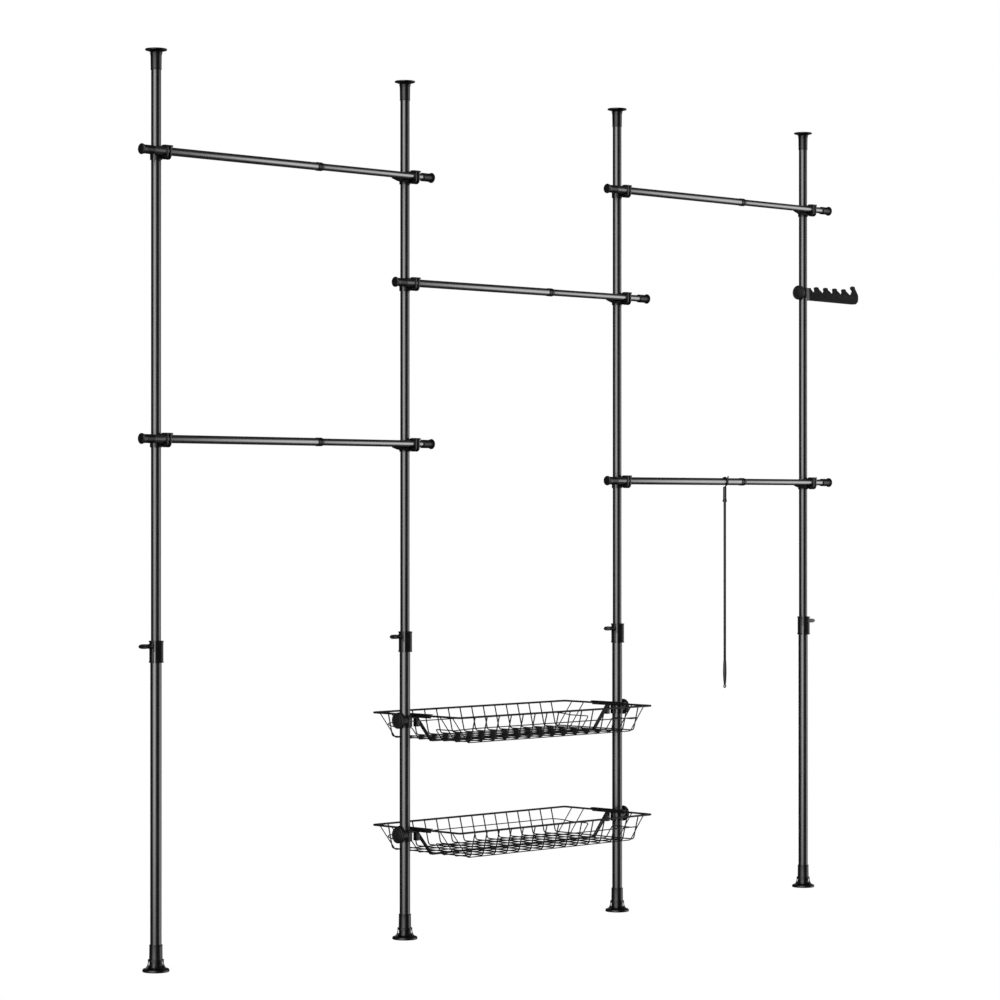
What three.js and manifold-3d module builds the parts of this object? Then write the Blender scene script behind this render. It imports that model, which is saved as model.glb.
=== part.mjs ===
// Open frame wardrobe: four telescopic poles held between floor and ceiling, five telescopic
// rails clamped across them, two wire baskets, a rack of hooks and a hanging pull rod.
// Millimetres. X runs along the rack from left to right, the front faces -Y and Z points up.
// The origin is on the floor, in the middle of the rack's outer box.
import * as THREE from 'three';
import { mergeVertices } from 'three/addons/utils/BufferGeometryUtils.js';
import Module from 'manifold-3d';

const wasm = await Module();
wasm.setup();

// Whole rack
const rackHeight = 2740;
const leftBay = 1015;
const rightBay = 992;

// Clearances
const seatGap = 0.3;
const slideGap = 0.4;
const turnGap = 0.9;
const overrun = 1;

// Sides of round faces
const padSides = 16;
const poleSides = 10;
const railSides = 8;
const screwSides = 6;
const wireSides = 4;

// Steps along round corners
const plateSteps = 4;
const ribSteps = 2;
const wingSteps = 5;
const hookSteps = 2;

// Pole tubes
const lowerTubeRadius = 16;
const poleWall = 1.2;
const poleSlide = 0.8;
const upperTubeRadius = lowerTubeRadius - poleWall - poleSlide;
const lowerTubeTop = 950;
const upperTubeEnd = 530;

// Floor foot
const footRadius = 40;
const footDisc = 9;
const footEdge = 2.5;
const footNeckWall = 4.6;
const footCollarLip = 2.6;
const footCollarBottom = 31;
const footCollarTop = 36.5;
const footSleeveWall = 2.5;
const footHeight = 80;
const footFloor = 8;
const footRibReach = 36;

// Ceiling cap
const capRadius = 32.6;
const capDisc = 4.5;
const capEdge = 1.6;
const capNeckWall = 2.2;
const capCollarLip = 1.2;
const capCollarBottom = 17;
const capCollarTop = 19;
const capSleeveWall = 1.2;
const capHeight = 62;
const capFloor = 5;
const capRibReach = 29.5;

// Ribs under the flare of feet and caps
const padRibs = 8;
const padRibThickness = 2.4;
const padRibLand = 1;

// Lock collar at the joint of each pole
const collarBelow = 33;
const collarAbove = 32;
const collarBottom = lowerTubeTop - collarBelow;
const collarTop = lowerTubeTop + collarAbove;
const collarWall = 2.2;
const collarRadius = lowerTubeRadius + slideGap + collarWall;
const collarFlangeLip = 1.4;
const collarFlangeRadius = collarRadius + collarFlangeLip;
const collarFlange = 4;
const slitAngle = 217;
const slitWidth = 6;
const jawAngle = 250;
const jawWidth = 16;
const jawStep = 1;
const earLeft = 3.5;
const earThickness = 3.5;
const earLength = 9.4;
const earFlangeOverhang = 2;
const earFlange = 2.5;
const bossRadius = 7;
const bossLength = 4.4;
const bossReach = collarRadius + bossLength;

// Wing knob that locks the collar
const knobBelowTop = 16;
const knobHeight = collarTop - knobBelowTop;
const screwRadius = 3;
const wingRootRadius = 6;
const wingNeckRadius = 3.8;
const wingNeckLength = 9.7;
const wingSink = 2;
const wingLength = 34;
const wingHalfHeight = 6.75;
const wingThickness = 7;

// Rails
const outerRailRadius = 12;
const railWall = 1;
const railSlide = 0.5;
const innerRailRadius = outerRailRadius - railWall - railSlide;
const railClearOfPole = 2;
const railStandoff = upperTubeRadius + outerRailRadius + railClearOfPole;
const railOverlap = 250;
const railJointLength = 25;
const railJointWall = 1.1;
const railJointBevel = 2;
const railCapWall = 1.75;
const railCapRadius = outerRailRadius + railCapWall;
const railCapLength = 40;
const railHeadLip = 2.75;
const railHeadRadius = railCapRadius + railHeadLip;
const railHeadLength = 5.5;
const railHeadCrown = 1.5;
const railHeadFlatShare = 0.62;
const railEndWall = 3;

// Rail clamps
const clampRingWall = 3.1;
const clampBottom = 25;
const clampTop = 12;
const strapWall = 2.2;
const strapRadius = outerRailRadius + slideGap + strapWall;
const strapStart = 7;
const strapEnd = 25;
const strapRib = 5.5;
const strapRibChamfer = 7;
const tabStart = 4;
const tabEnd = 38;
const tabHalfWidth = 8;
const tabThickness = 3;
const tabRise = 3.4;
const tabTop = strapRadius + tabRise;
const clipSlitAngle = 200;
const clipSlitWidth = 9;

// Wire baskets
const basketLength = 892;
const basketToPole = 51.5;
const middleBay = basketLength + 2 * basketToPole;
const basketWidth = 405;
const basketDepth = 78;
const basketEndSlope = 68;
const basketSideSlope = 21;
const rimCornerRadius = 16;
const rimWireRadius = 2.7;
const wireRadius = 1.8;
const crossWires = 15;
const crossWirePitch = 50.5;
const longWires = 7;
const longWirePitch = 50;
const waistDrop = 36;
const waistRadius = 1.4;
const waistCornerRadius = 10;
const strutRadius = 2.7;
const strutSpacing = 9;
const strutPlug = 6;

// Basket brackets and their round knobs
const bracketRingWall = 3.4;
const bracketBelow = 36;
const bracketAbove = 2;
const bracketBossRadius = 20.5;
const bracketBossReach = 24;
const bracketNeckHalfWidth = 8;
const bracketSlotStart = 30;
const bracketSlotWidth = 3.2;
const bracketSlotTop = 10;
const armHalfLength = 75;
const armBelow = 5;
const armThickness = 7;
const armLip = 2.6;
const armLipReach = 7;
const knobDiscRadius = 24.4;
const knobDiscThickness = 10;
const knobDiscEdge = 1.8;
const knobDrop = 14;
const knobScrewRadius = 4;

// Rack of hooks
const hookRackHeight = 2158;
const hookRingWall = 3.4;
const hookRingHalfHeight = 18;
const hookFlangeStart = 28;
const hookFlangeThickness = 5;
const hookFlangeHalfWidth = 8;
const hookFlangeStep = 4;
const hookFootThickness = 3;
const hookBossRadius = 16.5;
const hookBossReach = 19;
const hookBarThickness = 5;
const hookBarBottom = -26;
const hookValley = 1;
const hookValleyWidth = 14;
const hookTipHeight = 14;
const hookTipRadius = 4.2;
const hookNeck = 5;
const hookFirst = 76;
const hookPitch = 52.5;
const hookCount = 5;
const hookLastRise = 12;
const hookBarTail = 31;
const hookSlope = 26;

// Pull rod
const pullRodPlace = 527;
const pullWireRadius = 2;
const pullProng = 10;
const pullProngLean = 3;
const pullHookSteps = 9;
const pullHookTurn = 265;
const pullHookStart = 270;
const prongAngle = 150;
const ferruleTop = 17;
const ferruleSocket = 28;
const ferruleLength = 53;
const ferruleRadius = 5;
const ferruleFlare = 7;
const ferruleFlareLength = 5;
const pullTubeRadius = 3.75;
const pullTubeLength = 561;
const gripLength = 84;
const gripTopRadius = 5.6;
const gripEndRadius = 4.2;
const gripEyeRadius = 7;
const gripEyeHole = 3;

// Places of the rails: drop from the ceiling or height over the floor
const rail1Drop = 305;
const rail2Height = 1581;
const rail3Drop = 646;
const rail4Drop = 280;
const rail5Height = 1469;

// How far the rails run out past the poles, and the free length of their inner tubes
const leftRailOverhang = 80;
const leftRailTail = 93;
const leftRailFree = 404;
const middleRailOverhang = 71;
const middleRailTail = 122;
const middleRailFree = 371;
const rightRailOverhang = 82;
const rail4Tail = 114;
const rail5Tail = 115;
const rightRailFree = 385;

// Heights of the rim wires over the floor
const upperBasketHeight = 712;
const lowerBasketHeight = 347;

// Rails: bay, height, overhang past the left pole, start of the joint, overhang past the right pole
const leftBayRail = { bay: 0, left: leftRailOverhang, joint: leftBay - leftRailFree, right: leftRailTail };
const rightBayRail = { bay: 2, left: rightRailOverhang, joint: rightBay - rightRailFree };
const middleBayRail = {
  bay: 1, left: middleRailOverhang, joint: middleBay - middleRailFree, right: middleRailTail,
};
const railTable = [
  { ...leftBayRail, name: 'rail_1', height: rackHeight - rail1Drop },
  { ...leftBayRail, name: 'rail_2', height: rail2Height },
  { ...middleBayRail, name: 'rail_3', height: rackHeight - rail3Drop },
  { ...rightBayRail, name: 'rail_4', height: rackHeight - rail4Drop, right: rail4Tail },
  { ...rightBayRail, name: 'rail_5', height: rail5Height, right: rail5Tail },
];

// Baskets: height of the rim wire
const basketTable = [
  { name: 'upper_basket', rim: upperBasketHeight },
  { name: 'lower_basket', rim: lowerBasketHeight },
];

const deg = Math.PI / 180;
const polePlaces = [-middleBay / 2 - leftBay, -middleBay / 2, middleBay / 2, middleBay / 2 + rightBay];

// Materials
const tubeSteel = new THREE.MeshStandardMaterial({ color: 0x232425, roughness: 0.34, metalness: 0.6 });
const railSteel = new THREE.MeshStandardMaterial({ color: 0x2a2b2c, roughness: 0.36, metalness: 0.6 });
const blackPlastic = new THREE.MeshStandardMaterial({ color: 0x161617, roughness: 0.58, metalness: 0 });
const coatedWire = new THREE.MeshStandardMaterial({ color: 0x1a1a1b, roughness: 0.45, metalness: 0.4 });

// A path that goes through its own stations, one for each step of a sweep.
class StationPath extends THREE.Curve {
  constructor(stations) {
    super();
    this.stations = stations;
  }

  station(index) {
    return this.stations[Math.min(Math.max(index, 0), this.stations.length - 1)];
  }

  indexAt(t) {
    return Math.round(t * (this.stations.length - 1));
  }

  getPoint(t, target = new THREE.Vector3()) {
    return target.copy(this.station(this.indexAt(t)));
  }

  getPointAt(t, target) {
    return this.getPoint(t, target);
  }

  getTangent(t, target = new THREE.Vector3()) {
    const index = this.indexAt(t);
    const back = this.station(index).clone().sub(this.station(index - 1)).normalize();
    const ahead = this.station(index + 1).clone().sub(this.station(index)).normalize();
    return target.copy(back.add(ahead)).normalize();
  }

  getTangentAt(t, target) {
    return this.getTangent(t, target);
  }
}

// A closed mesh with shared vertices, faces out and no face of two corners.
function cleaned(geometry) {
  const bare = new THREE.BufferGeometry();
  bare.setAttribute('position', geometry.getAttribute('position'));
  if (geometry.index) bare.setIndex(geometry.index);
  const merged = mergeVertices(bare, 1e-4);
  const index = [];
  for (let i = 0; i < merged.index.count; i += 3) {
    const [a, b, c] = [merged.index.getX(i), merged.index.getX(i + 1), merged.index.getX(i + 2)];
    if (a !== b && b !== c && c !== a) index.push(a, b, c);
  }
  merged.setIndex(index);
  if (volumeOf(merged) < 0) {
    for (let i = 0; i < index.length; i += 3) [index[i], index[i + 1]] = [index[i + 1], index[i]];
    merged.setIndex(index);
  }
  return merged;
}

// Signed volume of an indexed mesh.
function volumeOf(geometry) {
  const position = geometry.getAttribute('position');
  const corners = [new THREE.Vector3(), new THREE.Vector3(), new THREE.Vector3()];
  let sum = 0;
  for (let i = 0; i < geometry.index.count; i += 3) {
    corners.forEach((corner, k) => corner.fromBufferAttribute(position, geometry.index.getX(i + k)));
    sum += corners[0].dot(corners[1].clone().cross(corners[2]));
  }
  return sum / 6;
}

// A solid that can be joined and cut.
function solid(geometry) {
  const mesh = cleaned(geometry);
  const vertProperties = new Float32Array(mesh.getAttribute('position').array);
  const triVerts = new Uint32Array(mesh.index.array);
  return new wasm.Manifold(new wasm.Mesh({ numProp: 3, vertProperties, triVerts }));
}

function joined(...geometries) {
  return geometries.map(solid).reduce((whole, piece) => whole.add(piece));
}

function without(whole, ...geometries) {
  return geometries.map(solid).reduce((rest, tool) => rest.subtract(tool), whole);
}

// One named sub-part from a geometry or a solid.
function part(name, shape, material) {
  let geometry;
  if (shape instanceof THREE.BufferGeometry) {
    geometry = cleaned(shape);
  } else {
    const { vertProperties, triVerts } = shape.getMesh();
    geometry = new THREE.BufferGeometry();
    geometry.setAttribute('position', new THREE.BufferAttribute(new Float32Array(vertProperties), 3));
    geometry.setIndex(new THREE.BufferAttribute(new Uint32Array(triVerts), 1));
  }
  geometry.computeVertexNormals();
  const mesh = new THREE.Mesh(geometry, material);
  mesh.name = name;
  return mesh;
}

// A turned form about Z from radius and height pairs.
function turned(profile, sides) {
  const points = profile.map(([radius, height]) => new THREE.Vector2(radius, height));
  return new THREE.LatheGeometry(points, sides).rotateX(Math.PI / 2);
}

// A turned form about X from radius and place pairs.
function turnedAlongX(profile, sides) {
  return turned(profile, sides).rotateY(Math.PI / 2);
}

// A tube or ring about Z between two heights.
function ring(outer, inner, low, high, sides) {
  return turned([[inner, low], [outer, low], [outer, high], [inner, high], [inner, low]], sides);
}

function rod(radius, low, high, sides) {
  return turned([[0, low], [radius, low], [radius, high], [0, high]], sides);
}

function rodAlongX(radius, low, high, sides) {
  return turnedAlongX([[0, low], [radius, low], [radius, high], [0, high]], sides);
}

// A box between two corners.
function block([x0, y0, z0], [x1, y1, z1]) {
  const geometry = new THREE.BoxGeometry(x1 - x0, y1 - y0, z1 - z0);
  return geometry.translate((x0 + x1) / 2, (y0 + y1) / 2, (z0 + z1) / 2);
}

// A flat plate from an outline in X and Z, centred on the plane Y = 0.
function plate(outline, thickness, curveSegments = plateSteps) {
  const form = { depth: thickness, bevelEnabled: false, curveSegments };
  return new THREE.ExtrudeGeometry(outline, form).translate(0, 0, -thickness / 2).rotateX(Math.PI / 2);
}

// Corner radius of a section with few sides that holds as much metal as the round wire.
function polygonReach(radius, sides) {
  const turn = (2 * Math.PI) / sides;
  return radius * Math.sqrt(turn / Math.sin(turn));
}

// Distance from the middle of a wire to its flat sides.
function wireFlat(radius) {
  return polygonReach(radius, wireSides) * Math.cos(Math.PI / wireSides);
}

// Section of a wire, with a flat side towards each axis.
function section(radius, sides) {
  const reach = polygonReach(radius, sides);
  const corners = [];
  for (let i = 0; i < sides; i += 1) {
    const angle = ((i + 0.5) / sides) * 2 * Math.PI;
    corners.push(new THREE.Vector2(reach * Math.cos(angle), reach * Math.sin(angle)));
  }
  return new THREE.Shape(corners);
}

// A wire through its stations, with closed ends.
function wire(stations, radius, sides) {
  const extrudePath = new StationPath(stations);
  return new THREE.ExtrudeGeometry(section(radius, sides), { steps: stations.length - 1, extrudePath });
}

// Outline of a rectangle with round corners.
function roundedOutline(outline, halfLength, halfWidth, corner) {
  outline.absarc(halfLength - corner, halfWidth - corner, corner, 0, Math.PI / 2, false);
  outline.absarc(corner - halfLength, halfWidth - corner, corner, Math.PI / 2, Math.PI, false);
  outline.absarc(corner - halfLength, corner - halfWidth, corner, Math.PI, (3 * Math.PI) / 2, false);
  outline.absarc(halfLength - corner, corner - halfWidth, corner, (3 * Math.PI) / 2, 2 * Math.PI, false);
  outline.closePath();
  return outline;
}

// A wire bent to a level loop with round corners.
function wireLoop(halfLength, halfWidth, height, corner, radius) {
  const flat = wireFlat(radius);
  const outline = roundedOutline(new THREE.Shape(), halfLength + flat, halfWidth + flat, corner + flat);
  outline.holes.push(roundedOutline(new THREE.Path(), halfLength - flat, halfWidth - flat, corner - flat));
  const loop = new THREE.ExtrudeGeometry(outline, { depth: 2 * flat, bevelEnabled: false, curveSegments: 1 });
  return loop.translate(0, 0, height - flat);
}

// A wire that runs straight between corners in X and Z, with mitred bends and closed ends.
function bentWire(corners, radius) {
  const half = wireFlat(radius);
  const points = corners.map(([x, z]) => new THREE.Vector2(x, z));
  const side = (sign) => points.map((point, i) => {
    const into = points[Math.max(i, 1)].clone().sub(points[Math.max(i, 1) - 1]).normalize();
    const next = Math.min(i, points.length - 2);
    const out = points[next + 1].clone().sub(points[next]).normalize();
    const mitre = into.clone().add(out).normalize();
    const reach = (sign * half) / mitre.dot(into);
    return new THREE.Vector2(point.x - mitre.y * reach, point.y + mitre.x * reach);
  });
  return plate(new THREE.Shape([...side(-1), ...side(1).reverse()]), 2 * half);
}

// A rib that fills the concave corner between a pad's disc and its neck.
function padRib(size, angle) {
  const outline = new THREE.Shape();
  const inner = size.tube + slideGap;
  const collar = inner + size.neckWall + size.lip;
  const top = collar * Math.cos(Math.PI / padRibs) - padRibLand;
  outline.moveTo(inner, size.disc - padRibLand);
  outline.lineTo(size.ribReach, size.disc - padRibLand);
  outline.quadraticCurveTo(top, size.disc + padRibLand, top, size.collarBottom + padRibLand);
  outline.lineTo(inner, size.collarBottom + padRibLand);
  outline.closePath();
  return plate(outline, padRibThickness, ribSteps).rotateZ(angle);
}

// The ribbed pad that ends a pole: a disc, a neck with a rib on each face, a collar and a sleeve
// over the tube.
function pad(size) {
  const bore = size.tube + slideGap;
  const neckRadius = bore + size.neckWall;
  const collar = neckRadius + size.lip;
  const disc = turned([
    [0, 0],
    [size.radius, 0],
    [size.radius, size.disc - size.edge],
    [size.radius - size.edge, size.disc],
    [0, size.disc],
  ], padSides);
  const neck = turned([
    [0, size.floor - padRibLand],
    [neckRadius, size.floor - padRibLand],
    [neckRadius, size.collarBottom],
    [collar, size.collarBottom],
    [collar, size.collarTop],
    [0, size.collarTop],
  ], padRibs);
  const sleeve = rod(bore + size.sleeveWall, size.collarBottom, size.height, poleSides);
  const ribs = [];
  for (let i = 0; i < padRibs; i += 1) ribs.push(padRib(size, ((i + 0.5) / padRibs) * 2 * Math.PI));
  const tubeSpace = rod(bore, size.floor, size.height + overrun, poleSides);
  return without(joined(disc, neck, sleeve, ...ribs), tubeSpace);
}

function foot(name) {
  const shape = pad({
    radius: footRadius, disc: footDisc, edge: footEdge, neckWall: footNeckWall, lip: footCollarLip,
    collarBottom: footCollarBottom, collarTop: footCollarTop, tube: lowerTubeRadius,
    sleeveWall: footSleeveWall, height: footHeight, floor: footFloor, ribReach: footRibReach,
  });
  return part(name, shape, blackPlastic);
}

function ceilingCap(name) {
  const shape = pad({
    radius: capRadius, disc: capDisc, edge: capEdge, neckWall: capNeckWall, lip: capCollarLip,
    collarBottom: capCollarBottom, collarTop: capCollarTop, tube: upperTubeRadius,
    sleeveWall: capSleeveWall, height: capHeight, floor: capFloor, ribReach: capRibReach,
  });
  const cap = part(name, shape, blackPlastic);
  cap.rotation.x = Math.PI;
  cap.position.z = rackHeight;
  return cap;
}

function lowerTube(name) {
  const low = footFloor + seatGap;
  const tube = ring(lowerTubeRadius, lowerTubeRadius - poleWall, low, lowerTubeTop, poleSides);
  return part(name, tube, tubeSteel);
}

function upperTube(name) {
  const high = rackHeight - capFloor - seatGap;
  const tube = ring(upperTubeRadius, upperTubeRadius - poleWall, upperTubeEnd, high, poleSides);
  return part(name, tube, tubeSteel);
}

// Split collar over the joint of the two tubes, with a flat jaw, a flanged ear and a screw boss.
function lockCollar(name, side) {
  const lowBore = lowerTubeRadius + slideGap;
  const highBore = upperTubeRadius + slideGap;
  const shoulder = lowerTubeTop + seatGap;
  const body = turned([
    [lowBore, collarBottom],
    [collarFlangeRadius, collarBottom],
    [collarFlangeRadius, collarBottom + collarFlange],
    [collarRadius, collarBottom + collarFlange],
    [collarRadius, collarTop - collarFlange],
    [collarFlangeRadius, collarTop - collarFlange],
    [collarFlangeRadius, collarTop],
    [highBore, collarTop],
    [highBore, shoulder],
    [lowBore, shoulder],
    [lowBore, collarBottom],
  ], poleSides);
  const jawReach = collarRadius + jawStep;
  const jaw = block(
    [lowBore, -jawWidth / 2, collarBottom + collarFlange / 2],
    [jawReach, jawWidth / 2, collarTop - collarFlange / 2],
  ).rotateZ(jawAngle * deg);
  const earRight = earLeft + earThickness;
  const earReach = collarRadius + earLength;
  const ear = block([earLeft, -earReach, collarBottom], [earRight, -lowBore, collarTop]);
  const earFlanges = [collarBottom, collarTop - earFlange].map((low) => block(
    [earLeft - earFlangeOverhang, -earReach - earFlangeOverhang, low],
    [earRight + earFlangeOverhang, -lowBore, low + earFlange],
  ));
  const boss = rodAlongX(bossRadius, highBore, bossReach, screwSides).translate(0, 0, knobHeight);
  const slit = block(
    [0, -slitWidth / 2, collarBottom - overrun],
    [collarFlangeRadius + overrun, slitWidth / 2, collarTop + overrun],
  ).rotateZ(slitAngle * deg);
  const screwHole = rodAlongX(screwRadius + turnGap, 0, bossReach + overrun, screwSides)
    .translate(0, 0, knobHeight);
  if (side < 0) [boss, screwHole].forEach((shape) => shape.rotateZ(Math.PI));
  const whole = joined(body, jaw, ear, ...earFlanges, boss);
  const tubeSpace = rod(highBore, shoulder, collarTop + overrun, poleSides);
  const lowerSpace = rod(lowBore, collarBottom - overrun, shoulder, poleSides);
  return part(name, without(whole, slit, screwHole, tubeSpace, lowerSpace), blackPlastic);
}

// Wing knob whose screw presses on the upper tube.
function lockKnob(name, side) {
  const root = bossReach + seatGap;
  const neckEnd = root + wingNeckLength;
  const stem = turnedAlongX([
    [0, upperTubeRadius + seatGap],
    [screwRadius, upperTubeRadius + seatGap],
    [screwRadius, root],
    [wingRootRadius, root],
    [wingNeckRadius, neckEnd],
    [0, neckEnd],
  ], screwSides);
  const outline = new THREE.Shape();
  const middle = neckEnd - wingSink + wingLength / 2;
  outline.absellipse(middle, 0, wingLength / 2, wingHalfHeight, 0, 2 * Math.PI);
  const knob = part(name, joined(stem, plate(outline, wingThickness, wingSteps)), blackPlastic);
  knob.position.z = knobHeight;
  if (side < 0) knob.rotation.z = Math.PI;
  return knob;
}

// The outer rail tube with its round-headed end cap and the beaded ring at its open end.
function outerRail({ name, left, joint }) {
  const bore = outerRailRadius - railWall;
  const profile = [
    [0, -left],
    [railHeadRadius * railHeadFlatShare, -left],
    [railHeadRadius, -left + railHeadCrown],
    [railCapRadius, -left + railHeadLength],
    [railCapRadius, -left + railCapLength + railHeadLength],
    [outerRailRadius, -left + railCapLength + railHeadLength],
    [outerRailRadius, joint],
    [outerRailRadius + railJointWall, joint],
    [outerRailRadius + railJointWall, joint + railJointLength - railJointBevel],
    [bore, joint + railJointLength],
    [bore, -left + railHeadLength + railEndWall],
    [0, -left + railHeadLength + railEndWall],
  ];
  const tube = part(`${name}_outer_tube`, turnedAlongX(profile, railSides), railSteel);
  tube.position.y = -railStandoff;
  return tube;
}

// The inner rail tube with its round-headed end cap.
function innerRail({ name, joint, right }, bay) {
  const end = bay + right;
  const bore = innerRailRadius - railWall;
  const profile = [
    [bore, joint - railOverlap],
    [innerRailRadius, joint - railOverlap],
    [innerRailRadius, end - railHeadLength - railCapLength],
    [railCapRadius, end - railHeadLength - railCapLength],
    [railCapRadius, end - railHeadLength],
    [railHeadRadius, end - railHeadCrown],
    [railHeadRadius * railHeadFlatShare, end],
    [0, end],
    [0, end - railHeadLength - railEndWall],
    [bore, end - railHeadLength - railEndWall],
    [bore, joint - railOverlap],
  ];
  const tube = part(`${name}_inner_tube`, turnedAlongX(profile, railSides), railSteel);
  tube.position.y = -railStandoff;
  return tube;
}

// Clamp that holds a rail in front of a pole: an open ring on the pole, a ribbed strap round the
// rail and a flat tab over it.
function railClamp(name, railRadius) {
  const poleBore = upperTubeRadius + slideGap;
  const railBore = railRadius + slideGap;
  const poleRing = rod(poleBore + clampRingWall, -clampBottom, clampTop, poleSides);
  const cradle = rodAlongX(strapRadius, strapStart + strapRib / 2, strapEnd - strapRib / 2, railSides);
  const ribOutline = new THREE.Shape();
  const half = strapRadius;
  const corners = [
    [-half, tabTop - tabThickness / 2], [half, tabTop - tabThickness / 2],
    [half, strapRibChamfer - clampBottom], [half - strapRibChamfer, -clampBottom],
    [strapRibChamfer - half, -clampBottom], [-half, strapRibChamfer - clampBottom],
  ];
  ribOutline.setFromPoints(corners.map(([y, z]) => new THREE.Vector2(y, z)));
  const ribs = [strapStart, strapEnd - strapRib].map((low) => plate(ribOutline, strapRib)
    .rotateZ(Math.PI / 2)
    .translate(low + strapRib / 2, 0, 0));
  const tab = block([tabStart, -tabHalfWidth, tabTop - tabThickness], [tabEnd, tabHalfWidth, tabTop]);
  const onRail = joined(cradle, ...ribs, tab).translate([0, -railStandoff, 0]);
  const slit = block(
    [0, -clipSlitWidth / 2, -clampBottom - overrun],
    [poleBore + clampRingWall + overrun, clipSlitWidth / 2, clampTop + overrun],
  ).rotateZ(clipSlitAngle * deg);
  const poleSpace = rod(poleBore, -clampBottom - overrun, tabTop + overrun, poleSides);
  const railSpace = rodAlongX(railBore, -tabEnd - overrun, tabEnd + overrun, railSides)
    .translate(0, -railStandoff, 0);
  return part(name, without(solid(poleRing).add(onRail), slit, poleSpace, railSpace), blackPlastic);
}

// One telescopic rail with its two clamps, across a bay.
function rail(spec) {
  const group = new THREE.Group();
  const bay = polePlaces[spec.bay + 1] - polePlaces[spec.bay];
  const leftClamp = railClamp(`${spec.name}_left_clamp`, outerRailRadius);
  const rightClamp = railClamp(`${spec.name}_right_clamp`, innerRailRadius);
  rightClamp.position.x = bay;
  group.add(outerRail(spec), innerRail(spec, bay), leftClamp, rightClamp);
  group.position.set(polePlaces[spec.bay], 0, spec.height);
  return group;
}

// A wire bent down from the rim, along the floor and up to the rim again.
function basketWire(halfTop, halfFloor, floor) {
  const top = -rimWireRadius / 2;
  return bentWire([[-halfTop, top], [-halfFloor, floor], [halfFloor, floor], [halfTop, top]], wireRadius);
}

// Height of the two struts where they run out into the brackets: their upper side is level with
// the middle of the rim, which they are welded to.
function strutTop() {
  return -wireFlat(strutRadius);
}

// Wire basket: a rim, cross wires over long wires, a thin waist loop and two struts under the floor.
function basket() {
  const halfLength = basketLength / 2;
  const halfWidth = basketWidth / 2;
  const longFloor = -basketDepth;
  const crossFloor = longFloor + 2 * wireFlat(wireRadius) + seatGap;
  const pieces = [wireLoop(halfLength, halfWidth, 0, rimCornerRadius, rimWireRadius)];
  for (let i = 0; i < crossWires; i += 1) {
    const place = (i - (crossWires - 1) / 2) * crossWirePitch;
    const cross = basketWire(halfWidth, halfWidth - basketSideSlope, crossFloor);
    pieces.push(cross.rotateZ(Math.PI / 2).translate(place, 0, 0));
  }
  for (let i = 0; i < longWires; i += 1) {
    const place = (i - (longWires - 1) / 2) * longWirePitch;
    const along = basketWire(halfLength, halfLength - basketEndSlope, longFloor);
    if (place !== 0) pieces.push(along.translate(0, place, 0));
  }
  for (const side of [-1, 1]) pieces.push(strut((side * strutSpacing) / 2, halfLength));
  pieces.push(waistLoop(halfLength, halfWidth));
  return joined(...pieces);
}

// The thin loop round the walls: just clear of the other wires, and welded to the stouter struts.
function waistLoop(halfLength, halfWidth) {
  const wallTop = rimWireRadius / 2;
  const share = (waistDrop - wallTop) / (basketDepth - wallTop);
  const outside = (slope) => {
    const lean = slope / (basketDepth - wallTop);
    const stand = wireFlat(wireRadius) * Math.hypot(1, lean) + wireFlat(waistRadius) * (1 + lean);
    return stand + seatGap - share * slope;
  };
  const length = halfLength + outside(basketEndSlope);
  const width = halfWidth + outside(basketSideSlope);
  return wireLoop(length, width, -waistDrop, waistCornerRadius, waistRadius);
}

// One of the two stout wires that run from bracket to bracket, under the rim and the floor.
function strut(place, halfLength) {
  const plug = halfLength + wireFlat(rimWireRadius) + strutPlug;
  const top = strutTop();
  const floor = wireFlat(wireRadius) - basketDepth - wireFlat(strutRadius);
  const corners = [
    [-plug, top], [-halfLength, top], [-halfLength + basketEndSlope, floor],
    [halfLength - basketEndSlope, floor], [halfLength, top], [plug, top],
  ];
  return bentWire(corners, strutRadius).translate(0, place, 0);
}

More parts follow.
